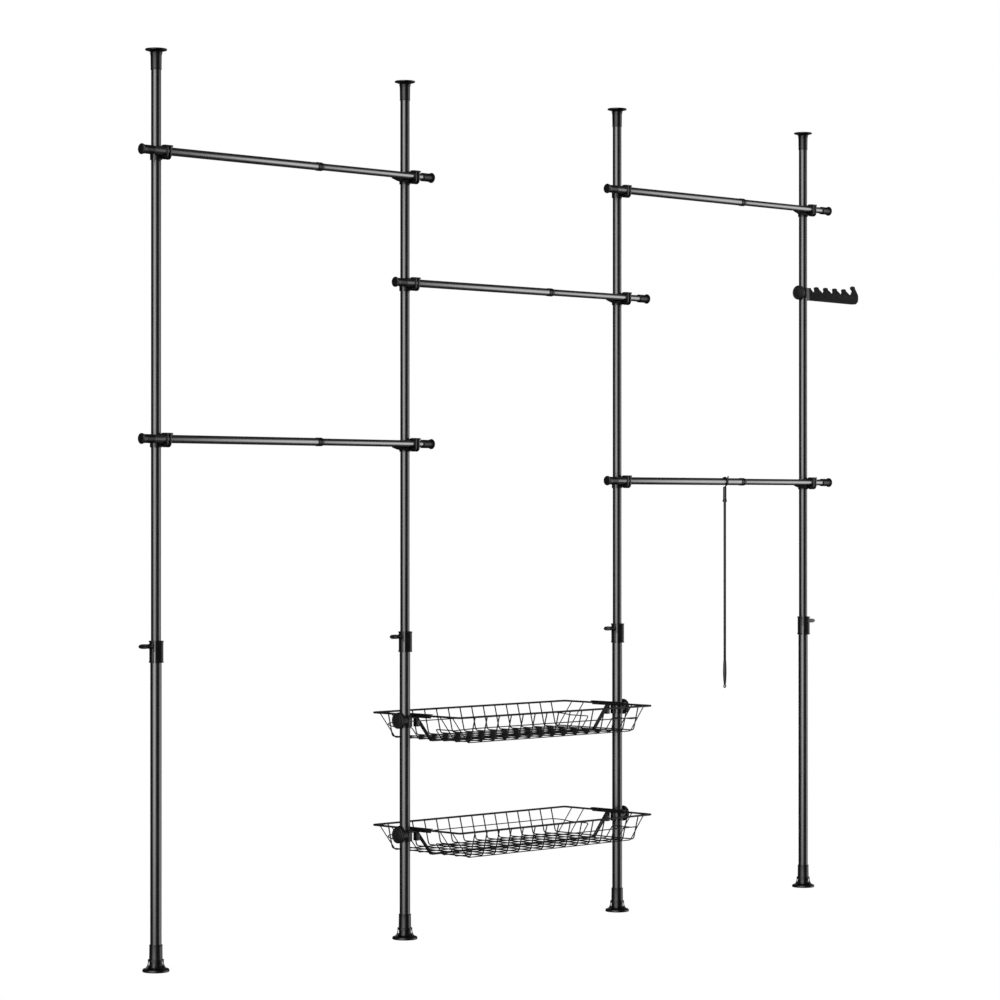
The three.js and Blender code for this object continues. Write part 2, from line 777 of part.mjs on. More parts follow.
// Clamp that carries one end of a basket. It is drawn for the right end: the knob's boss faces +X
// and the block with the rim's arm faces -X. Height is counted from the rim wire.
function basketBracket(name, side) {
  const bore = lowerTubeRadius + slideGap;
  const face = basketToPole - wireFlat(rimWireRadius) - seatGap;
  const blockStart = bracketSlotStart + bracketSlotWidth;
  const halfWidth = bracketNeckHalfWidth;
  const lipUnder = wireFlat(rimWireRadius) + seatGap;
  const body = rod(bore + bracketRingWall, -bracketBelow, bracketAbove, poleSides);
  const neck = block([-face, -halfWidth, -bracketBelow], [0, halfWidth, bracketAbove]);
  const armEnd = armThickness - face;
  const arm = block([-face, -armHalfLength, -armBelow], [armEnd, armHalfLength, lipUnder + armLip]);
  const lip = block(
    [-face - armLipReach, -armHalfLength, lipUnder],
    [armEnd, armHalfLength, lipUnder + armLip],
  );
  const boss = rodAlongX(bracketBossRadius, 0, bracketBossReach, railSides).translate(0, 0, -knobDrop);
  const slot = block(
    [-blockStart, -halfWidth - overrun, -bracketBelow - overrun],
    [-bracketSlotStart, halfWidth + overrun, -bracketSlotTop],
  );
  const slit = block(
    [0, -slitWidth / 2, -bracketBelow - overrun],
    [bore + bracketRingWall + overrun, slitWidth / 2, bracketAbove + overrun],
  ).rotateZ(slitAngle * deg);
  const tubeSpace = rod(bore, -bracketBelow - overrun, lipUnder + bracketBossRadius, poleSides);
  const screwHole = rodAlongX(knobScrewRadius + turnGap, 0, bracketBossReach + overrun, screwSides)
    .translate(0, 0, -knobDrop);
  const halfPlug = wireFlat(strutRadius) + slideGap;
  const halfPair = strutSpacing / 2 + halfPlug;
  const plugEnd = wireFlat(rimWireRadius) + strutPlug + seatGap - basketToPole;
  const socketLow = strutTop() - halfPlug;
  const socket = block([-face - overrun, -halfPair, socketLow], [plugEnd, halfPair, strutTop() + halfPlug]);
  const whole = joined(body, neck, arm, lip, boss);
  const bracket = part(name, without(whole, slot, slit, tubeSpace, screwHole, socket), blackPlastic);
  if (side < 0) bracket.rotation.z = Math.PI;
  return bracket;
}

// Round clamp knob whose screw presses on the pole. It is drawn for a knob that faces +X.
function roundKnob(name, tubeRadius, bossFace, side) {
  const low = bossFace + seatGap;
  const high = low + knobDiscThickness;
  const knob = part(name, turnedAlongX([
    [0, tubeRadius + seatGap],
    [knobScrewRadius, tubeRadius + seatGap],
    [knobScrewRadius, low],
    [knobDiscRadius, low],
    [knobDiscRadius, high - knobDiscEdge],
    [knobDiscRadius - knobDiscEdge, high],
    [0, high],
  ], poleSides), blackPlastic);
  if (side < 0) knob.rotation.z = Math.PI;
  return knob;
}

// A basket with a bracket and a knob at each end.
function basketSet({ name, rim }) {
  const group = new THREE.Group();
  group.add(part(name, basket(), coatedWire));
  for (const [hand, side] of [['left', -1], ['right', 1]]) {
    const bracket = basketBracket(`${name}_${hand}_bracket`, side);
    const knob = roundKnob(`${name}_${hand}_knob`, lowerTubeRadius, bracketBossReach, side);
    bracket.position.x = (side * middleBay) / 2;
    knob.position.set((side * middleBay) / 2, 0, -knobDrop);
    group.add(bracket, knob);
  }
  group.position.z = rim;
  return group;
}

// Clamp of the hook rack: a ring on the pole with a screw boss towards -X and a flange towards +X.
function hookClamp(name) {
  const bore = upperTubeRadius + turnGap;
  const outer = bore + hookRingWall;
  const body = rod(outer, -hookRingHalfHeight, hookRingHalfHeight, poleSides);
  const boss = rodAlongX(hookBossRadius, -hookBossReach, 0, railSides);
  const halfWidth = hookFlangeHalfWidth;
  const neck = block([0, -halfWidth, -hookRingHalfHeight], [hookFlangeStart, halfWidth, hookRingHalfHeight]);
  const flange = block(
    [hookFlangeStart, -halfWidth, hookBarBottom - hookFlangeStep],
    [hookFlangeStart + hookFlangeThickness, halfWidth, hookRingHalfHeight],
  );
  const tubeSpace = rod(bore, -hookRingHalfHeight - overrun, hookRingHalfHeight + overrun, poleSides);
  const screwHole = rodAlongX(knobScrewRadius + turnGap, -hookBossReach - overrun, 0, screwSides);
  return part(name, without(joined(body, boss, neck, flange), tubeSpace, screwHole), blackPlastic);
}

// Outline of the hook bar: a row of hooks that lean towards the pole, the last one taller.
function hookOutline(start) {
  const outline = new THREE.Shape();
  const end = hookFirst + (hookCount - 1) * hookPitch;
  outline.moveTo(start, hookBarBottom);
  outline.lineTo(start, hookTipHeight);
  for (let i = 0; i < hookCount; i += 1) {
    const tip = hookFirst + i * hookPitch;
    const height = i === hookCount - 1 ? hookTipHeight + hookLastRise : hookTipHeight;
    outline.lineTo(tip - hookValleyWidth, hookValley);
    outline.lineTo(tip - hookNeck, hookValley + hookNeck / 2);
    outline.lineTo(tip - hookTipRadius / 2, height - hookTipRadius);
    outline.absarc(tip - hookTipRadius / 2, height, hookTipRadius, 225 * deg, -30 * deg, true);
    if (i < hookCount - 1) outline.lineTo(tip + hookSlope, hookValley + hookNeck / 2);
  }
  const barEnd = end + hookBarTail;
  outline.quadraticCurveTo(barEnd, hookTipHeight, barEnd, hookValley);
  outline.quadraticCurveTo(barEnd, hookBarBottom, end + hookPitch / 4, hookBarBottom);
  outline.closePath();
  return outline;
}

function hookBar(name) {
  const start = hookFlangeStart + hookFlangeThickness + seatGap;
  const barFoot = block(
    [start, -hookFlangeHalfWidth, hookBarBottom - hookFlangeStep],
    [start + hookFootThickness, hookFlangeHalfWidth, hookTipHeight],
  );
  return part(name, joined(plate(hookOutline(start), hookBarThickness, hookSteps), barFoot), blackPlastic);
}

function hookRack() {
  const group = new THREE.Group();
  group.add(hookClamp('hook_rack_clamp'), hookBar('hook_rack_bar'));
  group.add(roundKnob('hook_rack_knob', upperTubeRadius, hookBossReach, -1));
  group.position.set(polePlaces[3], 0, hookRackHeight);
  return group;
}

// Wire hook of the pull rod, round the rail from below by the front, with a short prong, and its
// ferrule.
function pullHook(name) {
  const turnRadius = outerRailRadius + slideGap + polygonReach(pullWireRadius, wireSides);
  const stations = [];
  for (let i = 0; i <= pullHookSteps; i += 1) {
    const angle = pullHookStart - (pullHookTurn * i) / pullHookSteps;
    const drop = Math.max(angle - 180, 0) / 90;
    const reach = turnRadius + (ferruleTop + pullWireRadius - turnRadius) * drop * drop;
    stations.push(new THREE.Vector3(0, reach * Math.cos(angle * deg), reach * Math.sin(angle * deg)));
  }
  const prongTurn = prongAngle * deg;
  const prongBase = new THREE.Vector3(0, turnRadius * Math.cos(prongTurn), turnRadius * Math.sin(prongTurn));
  const prongTip = prongBase.clone().add(new THREE.Vector3(0, -pullProngLean, pullProng));
  const prong = wire([prongBase, prongTip], pullWireRadius, wireSides);
  const bottom = -ferruleTop - ferruleLength;
  const bore = pullTubeRadius + slideGap;
  const ferrule = turned([
    [0, -ferruleTop],
    [ferruleRadius - pullWireRadius / 2, -ferruleTop],
    [ferruleRadius, -ferruleTop - pullWireRadius],
    [ferruleRadius, bottom + 2 * ferruleFlareLength],
    [ferruleFlare, bottom + ferruleFlareLength],
    [ferruleFlare, bottom],
    [bore, bottom],
    [bore, bottom + ferruleSocket],
    [0, bottom + ferruleSocket],
  ], screwSides);
  return part(name, joined(wire(stations, pullWireRadius, wireSides), prong, ferrule), blackPlastic);
}

function pullRod() {
  const group = new THREE.Group();
  const ferruleEnd = -ferruleTop - ferruleLength;
  const tubeTop = ferruleEnd + ferruleSocket - seatGap;
  const gripTop = ferruleEnd - pullTubeLength;
  const tubeEnd = gripTop - ferruleSocket + seatGap;
  const gripEnd = gripTop - gripLength;
  const bore = pullTubeRadius + slideGap;
  const grip = turned([
    [0, gripTop - ferruleSocket],
    [bore, gripTop - ferruleSocket],
    [bore, gripTop],
    [gripTopRadius, gripTop],
    [gripTopRadius, gripTop - ferruleSocket],
    [gripEndRadius, gripEnd],
    [0, gripEnd],
  ], screwSides);
  const eye = ring(gripEyeRadius, gripEyeHole, -gripEyeHole / 2, gripEyeHole / 2, railSides)
    .rotateX(Math.PI / 2)
    .translate(0, 0, gripEnd - gripEyeRadius + gripEyeHole / 2);
  group.add(
    pullHook('pull_rod_hook'),
    part('pull_rod_tube', rod(pullTubeRadius, tubeEnd, tubeTop, screwSides), railSteel),
    part('pull_rod_grip', joined(grip, eye), blackPlastic),
  );
  const carrier = railTable[4];
  group.position.set(polePlaces[carrier.bay] + pullRodPlace, -railStandoff, carrier.height);
  return group;
}

const rack = new THREE.Group();

polePlaces.forEach((place, index) => {
  const pole = new THREE.Group();
  const tag = index + 1;
  const side = index === polePlaces.length - 1 ? 1 : -1;
  pole.add(foot(`foot_${tag}`), lowerTube(`lower_tube_${tag}`), upperTube(`upper_tube_${tag}`));
  pole.add(ceilingCap(`ceiling_cap_${tag}`), lockCollar(`lock_collar_${tag}`, side));
  pole.add(lockKnob(`lock_knob_${tag}`, side));
  pole.position.x = place;
  rack.add(pole);
});

railTable.forEach((spec) => rack.add(rail(spec)));

basketTable.forEach((spec) => rack.add(basketSet(spec)));
rack.add(hookRack(), pullRod());

const outerBox = new THREE.Box3().setFromObject(rack);
const middle = outerBox.getCenter(new THREE.Vector3());
rack.position.set(-middle.x, -middle.y, -outerBox.min.z);
const wardrobe = new THREE.Group();
wardrobe.add(rack);

export default wardrobe;
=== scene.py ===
"""Looks of an open frame wardrobe: telescopic poles, clothes rails, wire baskets, hooks and a pull rod.

Every size is in millimetres in the frame of its own piece. A piece is placed, in metres, when it
leaves the workshop class, so that its object stays at the origin.
"""
import logging
import math
from abc import ABC, abstractmethod
from collections.abc import Iterable, Sequence
from dataclasses import dataclass
from enum import Enum

import bmesh
import bpy
from mathutils import Matrix, Vector


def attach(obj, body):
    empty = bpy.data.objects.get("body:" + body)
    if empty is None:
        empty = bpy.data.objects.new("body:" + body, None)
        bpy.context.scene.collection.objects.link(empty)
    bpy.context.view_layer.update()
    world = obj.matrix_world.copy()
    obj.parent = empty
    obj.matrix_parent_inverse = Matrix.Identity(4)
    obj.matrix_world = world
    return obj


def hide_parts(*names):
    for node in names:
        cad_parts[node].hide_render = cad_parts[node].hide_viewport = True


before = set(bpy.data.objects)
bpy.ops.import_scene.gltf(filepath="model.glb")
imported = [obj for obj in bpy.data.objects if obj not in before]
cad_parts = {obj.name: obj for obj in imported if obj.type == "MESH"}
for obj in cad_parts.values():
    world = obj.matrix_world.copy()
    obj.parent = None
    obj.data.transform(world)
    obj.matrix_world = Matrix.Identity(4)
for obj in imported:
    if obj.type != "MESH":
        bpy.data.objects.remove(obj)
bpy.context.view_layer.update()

MM = 0.001
SMOOTH_BELOW = math.radians(33)
WIDE_ROUNDING = 3.0
log = logging.getLogger("wardrobe")

Corner = tuple[float, ...]
Edges = list[bmesh.types.BMEdge]
Verts = list[bmesh.types.BMVert]
Socket = bpy.types.NodeSocket
Tree = bpy.types.NodeTree

POLE_PLACES = (-1619.5, -604.5, 390.5, 1382.5)
RAIL_STANDOFF = 28.0
ALONG_X = Matrix.Rotation(math.radians(90), 4, "Y")
ALONG_Y = Matrix.Rotation(math.pi / 2, 4, "X")
HALF_TURN = Matrix.Rotation(math.pi, 4, "Z")
UPSIDE_DOWN = Matrix.Rotation(math.pi, 4, "X")


class Hand(Enum):
    """Which way a piece that comes in two hands is turned."""

    LEFT = "left"
    RIGHT = "right"

    def turn(self) -> Matrix:
        """Returns the turn that brings a right-hand piece to this hand."""
        return HALF_TURN if self is Hand.LEFT else Matrix.Identity(4)


def shift(x: float = 0.0, y: float = 0.0, z: float = 0.0) -> Matrix:
    """Returns the matrix of a plain move."""
    return Matrix.Translation((x, y, z))


def linear(code: str) -> tuple[float, float, float, float]:
    """Turns a colour as seen on a screen into the renderer's linear light.

    Args:
        code: The colour as six sRGB hex digits.

    Returns:
        Red, green, blue and an alpha of one.
    """
    parts = [int(code[i:i + 2], 16) / 255 for i in (0, 2, 4)]
    red, green, blue = (c / 12.92 if c <= 0.04045 else ((c + 0.055) / 1.055) ** 2.4 for c in parts)
    return red, green, blue, 1.0


def add_node(tree: Tree, kind: str, settings: dict[str, object] | None = None,
             inputs: dict[str | int, object] | None = None) -> bpy.types.Node:
    """Adds a shader node with its settings, its fixed inputs and its links.

    Args:
        tree: The material's or world's node tree.
        kind: The node's type name.
        settings: Properties of the node itself.
        inputs: A value for each input, or the output socket that feeds it.

    Returns:
        The new node.
    """
    node = tree.nodes.new(kind)
    for key, value in (settings or {}).items():
        setattr(node, key, value)
    for key, value in (inputs or {}).items():
        if isinstance(value, Socket):
            tree.links.new(value, node.inputs[key])
        else:
            node.inputs[key].default_value = value
    return node


def reckon(tree: Tree, operation: str, *values: Socket | float) -> Socket:
    """Adds a maths node that takes sockets or numbers, and returns its result."""
    node = add_node(tree, "ShaderNodeMath", {"operation": operation}, dict(enumerate(values)))
    return node.outputs["Value"]


def blend(tree: Tree, share: Socket, first: bpy.types.Node, second: bpy.types.Node) -> bpy.types.Node:
    """Adds a mix of two shaders, where a share of 0 shows the first one, and returns its node."""
    return add_node(tree, "ShaderNodeMixShader", None, {0: share, 1: first.outputs[0], 2: second.outputs[0]})


@dataclass(frozen=True)
class CoatedFinish:
    """A coated or moulded surface: its colour, its gloss and the unevenness that breaks the gloss.

    Attributes:
        name: The real material and how its surface was made.
        colour: Base colour as sRGB hex.
        tint: A slightly different colour that drifts over the surface.
        roughness: Lowest and highest roughness.
        grain_mm: Size of the fine unevenness.
        drift_mm: Size of the slow changes in gloss and colour.
        bump: Height of the fine unevenness in millimetres.
        metallic: One where metal pigment makes the coat mirror like a metal, else zero.
        ior: Refractive index of the coat or plastic.
        noise_band: The band that noise seldom leaves, which is spread over the whole roughness.
        relief: Strength of the fine unevenness.
    """

    name: str
    colour: str
    tint: str
    roughness: tuple[float, float]
    grain_mm: float
    drift_mm: float
    bump: float
    metallic: float = 0.0
    ior: float = 1.5
    noise_band: tuple[float, float] = (0.35, 0.65)
    relief: float = 0.6

    def material(self) -> bpy.types.Material:
        """Builds the finish's material, or returns it if it exists already.

        Returns:
            The node material.
        """
        known = bpy.data.materials.get(self.name)
        if known:
            return known
        made = bpy.data.materials.new(self.name)
        made.use_nodes = True
        tree = made.node_tree
        tree.nodes.clear()
        place = add_node(tree, "ShaderNodeTexCoord").outputs["Object"]
        drift, grain = (add_node(tree, "ShaderNodeTexNoise", {"noise_dimensions": "3D"},
                                 {"Vector": place, "Scale": 1 / (size * MM), "Detail": detail}).outputs["Fac"]
                        for size, detail in ((self.drift_mm, 3.0), (self.grain_mm, 2.0)))
        gloss = add_node(tree, "ShaderNodeMapRange", None,
                         {"Value": drift, "From Min": self.noise_band[0], "From Max": self.noise_band[1],
                          "To Min": self.roughness[0], "To Max": self.roughness[1]})
        shade = add_node(tree, "ShaderNodeMix", {"data_type": "RGBA"},
                         {"Factor": drift, "A": linear(self.colour), "B": linear(self.tint)})
        bumps = add_node(tree, "ShaderNodeBump", None,
                         {"Height": grain, "Distance": self.bump * MM, "Strength": self.relief})
        surface = add_node(tree, "ShaderNodeBsdfPrincipled", None,
                           {"Base Color": shade.outputs["Result"], "Roughness": gloss.outputs["Result"],
                            "Normal": bumps.outputs["Normal"], "Metallic": self.metallic, "IOR": self.ior})
        add_node(tree, "ShaderNodeOutputMaterial", None, {"Surface": surface.outputs["BSDF"]})
        return made


# Black powder with metal pigment, baked on steel: a dark satin that mirrors the lamps in clear bands.
POLE_POWDER = CoatedFinish("Powder coated steel pole", "595959", "5E5E5E", (0.26, 0.32),
                           6.0, 90.0, 0.001, 1.0)
# The same powder on the thinner rail tube, made a shade brighter all over: painted sheen, so that the rail's
# band of reflected light shows brighter than the pole's.
RAIL_POWDER_WITH_PAINTED_SHEEN = CoatedFinish("Powder coated steel rail", "8A8A8B", "909091", (0.25, 0.31),
                           6.0, 70.0, 0.001, 1.0)
# The thin rod of the pull, in plain black powder with little metal in it.
ROD_POWDER = CoatedFinish("Powder coated steel rod", "303031", "343435", (0.30, 0.36),
                          5.0, 60.0, 0.001, 1.0)
# Nylon from a polished mould: black, with clear soft lines of light along every turned edge.
MOULDED_NYLON = CoatedFinish("Moulded black nylon", "050505", "080809", (0.28, 0.36),
                             2.0, 30.0, 0.004)
# Nylon from a fine grained mould: hands polish it a little, so turned rings still catch the light.
GRAINED_NYLON = CoatedFinish("Grained black nylon", "060606", "0A0A0B", (0.46, 0.56),
                             0.9, 18.0, 0.02)
# Glass filled nylon from an eroded mould: flat matt, with a grain coarser here than life so that it shows.
ERODED_NYLON = CoatedFinish("Eroded black nylon", "050505", "090909", (0.86, 0.94),
                            0.9, 18.0, 0.03)
# Steel wire dipped in molten polyethylene: a dull sheen, a little lumpy along the wire.
DIPPED_WIRE = CoatedFinish("Dip coated basket wire", "040404", "060607", (0.50, 0.60),
                           3.5, 30.0, 0.02)


class Workshop:
    """Shapes one piece as a bmesh in millimetres and turns it into a finished object."""

    def __init__(self, name: str) -> None:
        """Starts an empty piece.

        Args:
            name: The object's name.
        """
        self.name = name
        self.mesh = bmesh.new()
        self.cutter: Workshop | None = None

    def cuts(self) -> "Workshop":
        """Returns the shapes that are taken away from the piece at the end."""
        if self.cutter is None:
            self.cutter = Workshop(self.name + "_cut")
        return self.cutter

    def _outline(self, corners: Sequence[Corner], closed: bool) -> tuple[Verts, Edges]:
        """Draws a line of corners in the XZ plane and rounds those that give a radius.

        Args:
            corners: X, Z and an optional rounding for each corner.
            closed: Whether the last corner joins the first.

        Returns:
            The line's vertices and edges.
        """
        verts = [self.mesh.verts.new((c[0], 0.0, c[1])) for c in corners]
        pairs = list(zip(verts, verts[1:]))
        if closed:
            pairs.append((verts[-1], verts[0]))
        known = set(self.mesh.verts) - set(verts)
        for pair in pairs:
            self.mesh.edges.new(pair)
        for corner, vert in zip(corners, verts):
            if len(corner) > 2 and corner[2] > 0:
                bmesh.ops.bevel(self.mesh, geom=[vert], offset=corner[2], offset_type="OFFSET",
                                affect="VERTICES", segments=6 if corner[2] > WIDE_ROUNDING else 3,
                                profile=0.5, material=-1, clamp_overlap=False)
        drawn = [v for v in self.mesh.verts if v not in known]
        return drawn, list({e for v in drawn for e in v.link_edges})

    def turned(self, corners: Sequence[Corner], segments: int = 48, place: Matrix | None = None,
               closed: bool = False) -> None:
        """Turns a profile about Z, as on a lathe.

        Args:
            corners: Radius, height and an optional rounding for each corner.
            segments: Facets round the axis.
            place: Where the turned form goes.
            closed: Whether the profile is a closed ring that stays off the axis.
        """
        verts, edges = self._outline(corners, closed)
        bmesh.ops.spin(self.mesh, geom=verts + edges, cent=(0, 0, 0), axis=(0, 0, 1), dvec=(0, 0, 0),
                       angle=2 * math.pi, steps=segments, use_merge=True, use_duplicate=False)
        made = self._island(verts)
        bmesh.ops.remove_doubles(self.mesh, verts=made, dist=1e-4)
        self._put([v for v in made if v.is_valid], place)

    def sleeve(self, inner: float, outer: float, low: float, high: float, edge: float = 0.0,
               segments: int = 64, place: Matrix | None = None) -> None:
        """Turns a plain ring or tube, with its two outer edges rounded."""
        ring = [(inner, low), (outer, low, edge), (outer, high, edge), (inner, high)]
        self.turned(ring, segments, place, True)

    def bore(self, radius: float, low: float, high: float, segments: int = 64,
             place: Matrix | None = None) -> None:
        """Takes a round hole out of the piece, along its Z axis or that of a place."""
        self.cuts().turned([(0, low), (radius, low), (radius, high), (0, high)], segments, place)

    def plate(self, corners: Sequence[Corner], thickness: float, edge: float = 0.0,
              place: Matrix | None = None) -> None:
        """Cuts a flat plate to an outline in X and Z, centred on the plane Y = 0.

        Args:
            corners: X, Z and an optional rounding for each corner.
            thickness: The plate's thickness.
            edge: Rounding of the edges between its faces and its rim.
            place: Where the plate goes.
        """
        verts, edges = self._outline(corners, True)
        face = bmesh.ops.contextual_create(self.mesh, geom=edges)["faces"]
        bmesh.ops.translate(self.mesh, verts=verts, vec=(0, -thickness / 2, 0))
        grown = bmesh.ops.extrude_face_region(self.mesh, geom=face)["geom"]
        moved = [g for g in grown if isinstance(g, bmesh.types.BMVert)]
        bmesh.ops.translate(self.mesh, verts=moved, vec=(0, thickness, 0))
        made = self._island(verts)
        if edge > 0:
            bmesh.ops.recalc_face_normals(self.mesh, faces=list({f for v in made for f in v.link_faces}))
            flat = [f for v in made for f in v.link_faces if abs(f.normal.y) > 0.9]
            made = self._round((e for f in flat for e in f.edges), edge, 2)
        self._put(made, place)

    def block(self, low: Sequence[float], high: Sequence[float], edge: float = 0.0,
              place: Matrix | None = None) -> None:
        """Makes a box with rounded edges between two corners.

        Args:
            low: Lowest corner.
            high: Highest corner.
            edge: Rounding of its edges.
            place: Where the box goes.
        """
        size = Vector(high) - Vector(low)
        form = Matrix.Translation((Vector(high) + Vector(low)) / 2) @ Matrix.Diagonal((*size, 1))
        verts = bmesh.ops.create_cube(self.mesh, size=1.0, matrix=form)["verts"]
        if edge > 0:
            verts = self._round((e for v in verts for e in v.link_edges), edge)
        self._put(verts, place)

    def bent_wire(self, corners: Sequence[Sequence[float]], radius: float, bend: float, sides: int = 10,
                  steps: int = 5, closed: bool = False, end_round: float = 0.0) -> None:
        """Bends one wire: straight runs between corners and a round bend at each corner.

        Args:
            corners: The points at which the straight runs meet, each with a bend of its own if need be.
            radius: The wire's radius.
            bend: Radius of the other bends, at the wire's middle.
            sides: Facets round the wire.
            steps: Facets along each bend.
            closed: Whether the wire is a loop that ends where it starts.
            end_round: Rounding of the wire's free ends.
        """
        points = [Vector(c[:3]) for c in corners]
        bends = [c[3] if len(c) > 3 else bend for c in corners]
        heading = (points[1] - points[0]).normalized()
        start = Matrix.Translation(points[0]) @ heading.to_track_quat("Z", "Y").to_matrix().to_4x4()
        ring = bmesh.ops.create_circle(self.mesh, cap_ends=not closed, radius=radius, segments=sides,
                                       matrix=start)["verts"]
        edges = list({e for v in ring for e in v.link_edges})
        caps = list({f for v in ring for f in v.link_faces})
        here = points[0]
        for before, corner, after, turned in zip(points, points[1:], points[2:], bends[1:]):
            into, out = (corner - before).normalized(), (after - corner).normalized()
            angle = into.angle(out)
            reach = turned * math.tan(angle / 2)
            edges = self._run(edges, corner - into * reach - here)
            axis = into.cross(out).normalized()
            centre = corner - into * reach + axis.cross(into) * turned
            last = bmesh.ops.spin(self.mesh, geom=edges, cent=centre, axis=axis, dvec=(0, 0, 0), angle=angle,
                                  steps=steps, use_merge=False, use_duplicate=False)["geom_last"]
            edges = [g for g in last if isinstance(g, bmesh.types.BMEdge)]
            here = corner + out * reach
        edges = self._run(edges, points[-1] - here)
        if closed:
            tail = [v for e in edges for v in e.verts]
            bmesh.ops.remove_doubles(self.mesh, verts=list(set(tail + ring)), dist=1e-3)
            return
        caps += bmesh.ops.contextual_create(self.mesh, geom=edges)["faces"]
        if end_round > 0:
            self._round((e for f in caps for e in f.edges), end_round)

    def _run(self, edges: Edges, way: Vector) -> Edges:
        """Draws a wire's open end on by a straight run.

        Args:
            edges: The open end.
            way: How far and which way it goes.

        Returns:
            The new open end.
        """
        grown = bmesh.ops.extrude_edge_only(self.mesh, edges=edges)["geom"]
        bmesh.ops.translate(self.mesh, verts=[g for g in grown if isinstance(g, bmesh.types.BMVert)], vec=way)
        return [g for g in grown if isinstance(g, bmesh.types.BMEdge)]

    def _round(self, edges: Iterable[bmesh.types.BMEdge], width: float, segments: int = 3) -> Verts:
        """Rounds edges of one form.

        Args:
            edges: The edges, in which one may come twice.
            width: How far the rounding reaches.
            segments: Facets across it.

        Returns:
            All vertices of the form.
        """
        rounded = bmesh.ops.bevel(self.mesh, geom=list(set(edges)), offset=width, offset_type="OFFSET",
                                  affect="EDGES", segments=segments, profile=0.5, material=-1,
                                  clamp_overlap=True)
        return self._island(rounded["verts"][:1])

    def _island(self, seeds: Iterable[bmesh.types.BMVert]) -> Verts:
        """Finds every vertex that hangs together with the given ones.

        Args:
            seeds: Vertices to start from.

        Returns:
            All connected vertices.
        """
        found = set(seeds)
        queue = list(found)
        while queue:
            for edge in queue.pop().link_edges:
                for vert in edge.verts:
                    if vert not in found:
                        found.add(vert)
                        queue.append(vert)
        return list(found)

    def _put(self, verts: Verts, place: Matrix | None) -> None:
        """Moves vertices to their place, if one is given."""
        if place is not None:
            bmesh.ops.transform(self.mesh, matrix=place, verts=verts)

    def _plain_object(self) -> bpy.types.Object:
        """Turns the bmesh into a scene object, in millimetres, with normals out.

        Returns:
            The object.
        """
        bmesh.ops.recalc_face_normals(self.mesh, faces=list(self.mesh.faces))
        data = bpy.data.meshes.new(self.name)
        self.mesh.to_mesh(data)
        self.mesh.free()
        made = bpy.data.objects.new(self.name, data)
        bpy.context.scene.collection.objects.link(made)
        return made

    def finished(self, finish: CoatedFinish, body: str, node: str, place: Matrix) -> None:
        """Cuts, places, dresses and mounts the piece, in its node's stead.

        Args:
            finish: The surface finish.
            body: The moving body that the piece rides on.
            node: The node that it replaces.
            place: Its place in millimetres.
        """
        made = self._plain_object()
        if self.cutter is not None:
            tool = self.cutter._plain_object()
            cut = made.modifiers.new("cut", "BOOLEAN")
            cut.operation, cut.solver, cut.object, cut.use_self = "DIFFERENCE", "EXACT", tool, True
            depsgraph = bpy.context.evaluated_depsgraph_get()
            data = bpy.data.meshes.new_from_object(made.evaluated_get(depsgraph))
            made.modifiers.clear()
            old, made.data = made.data, data
            bpy.data.meshes.remove(old)
            bpy.data.objects.remove(tool)
        shaped = bmesh.new()
        shaped.from_mesh(made.data)
        bmesh.ops.remove_doubles(shaped, verts=list(shaped.verts), dist=1e-4)
        bmesh.ops.transform(shaped, matrix=Matrix.Diagonal((MM, MM, MM, 1)) @ place, verts=list(shaped.verts))
        for face in shaped.faces:
            face.smooth = True
        for edge in shaped.edges:
            edge.smooth = len(edge.link_faces) == 2 and edge.calc_face_angle(0.0) < SMOOTH_BELOW
        shaped.to_mesh(made.data)
        shaped.free()
        made.data.materials.clear()
        made.data.materials.append(finish.material())
        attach(made, body)
        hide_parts(node)
        log.info("%s rides on %s", self.name, body)


class Fitting(ABC):
    """A part that is shaped at the origin and then mounted in the stead of one node."""

    finish = MOULDED_NYLON
    slot = "black_plastic"
    making = "moulding"

    @abstractmethod
    def shape(self, work: Workshop) -> None:
        """Shapes the part in its workshop."""

    def build(self, name: str, body: str, place: Matrix) -> None:
        """Builds the part and mounts it.

        Args:
            name: The node that it replaces.
            body: The body that it rides on.
            place: Its place.
        """
        work = Workshop(f"{name}_{self.making}")
        self.shape(work)
        work.finished(self.finish, body, name, place)


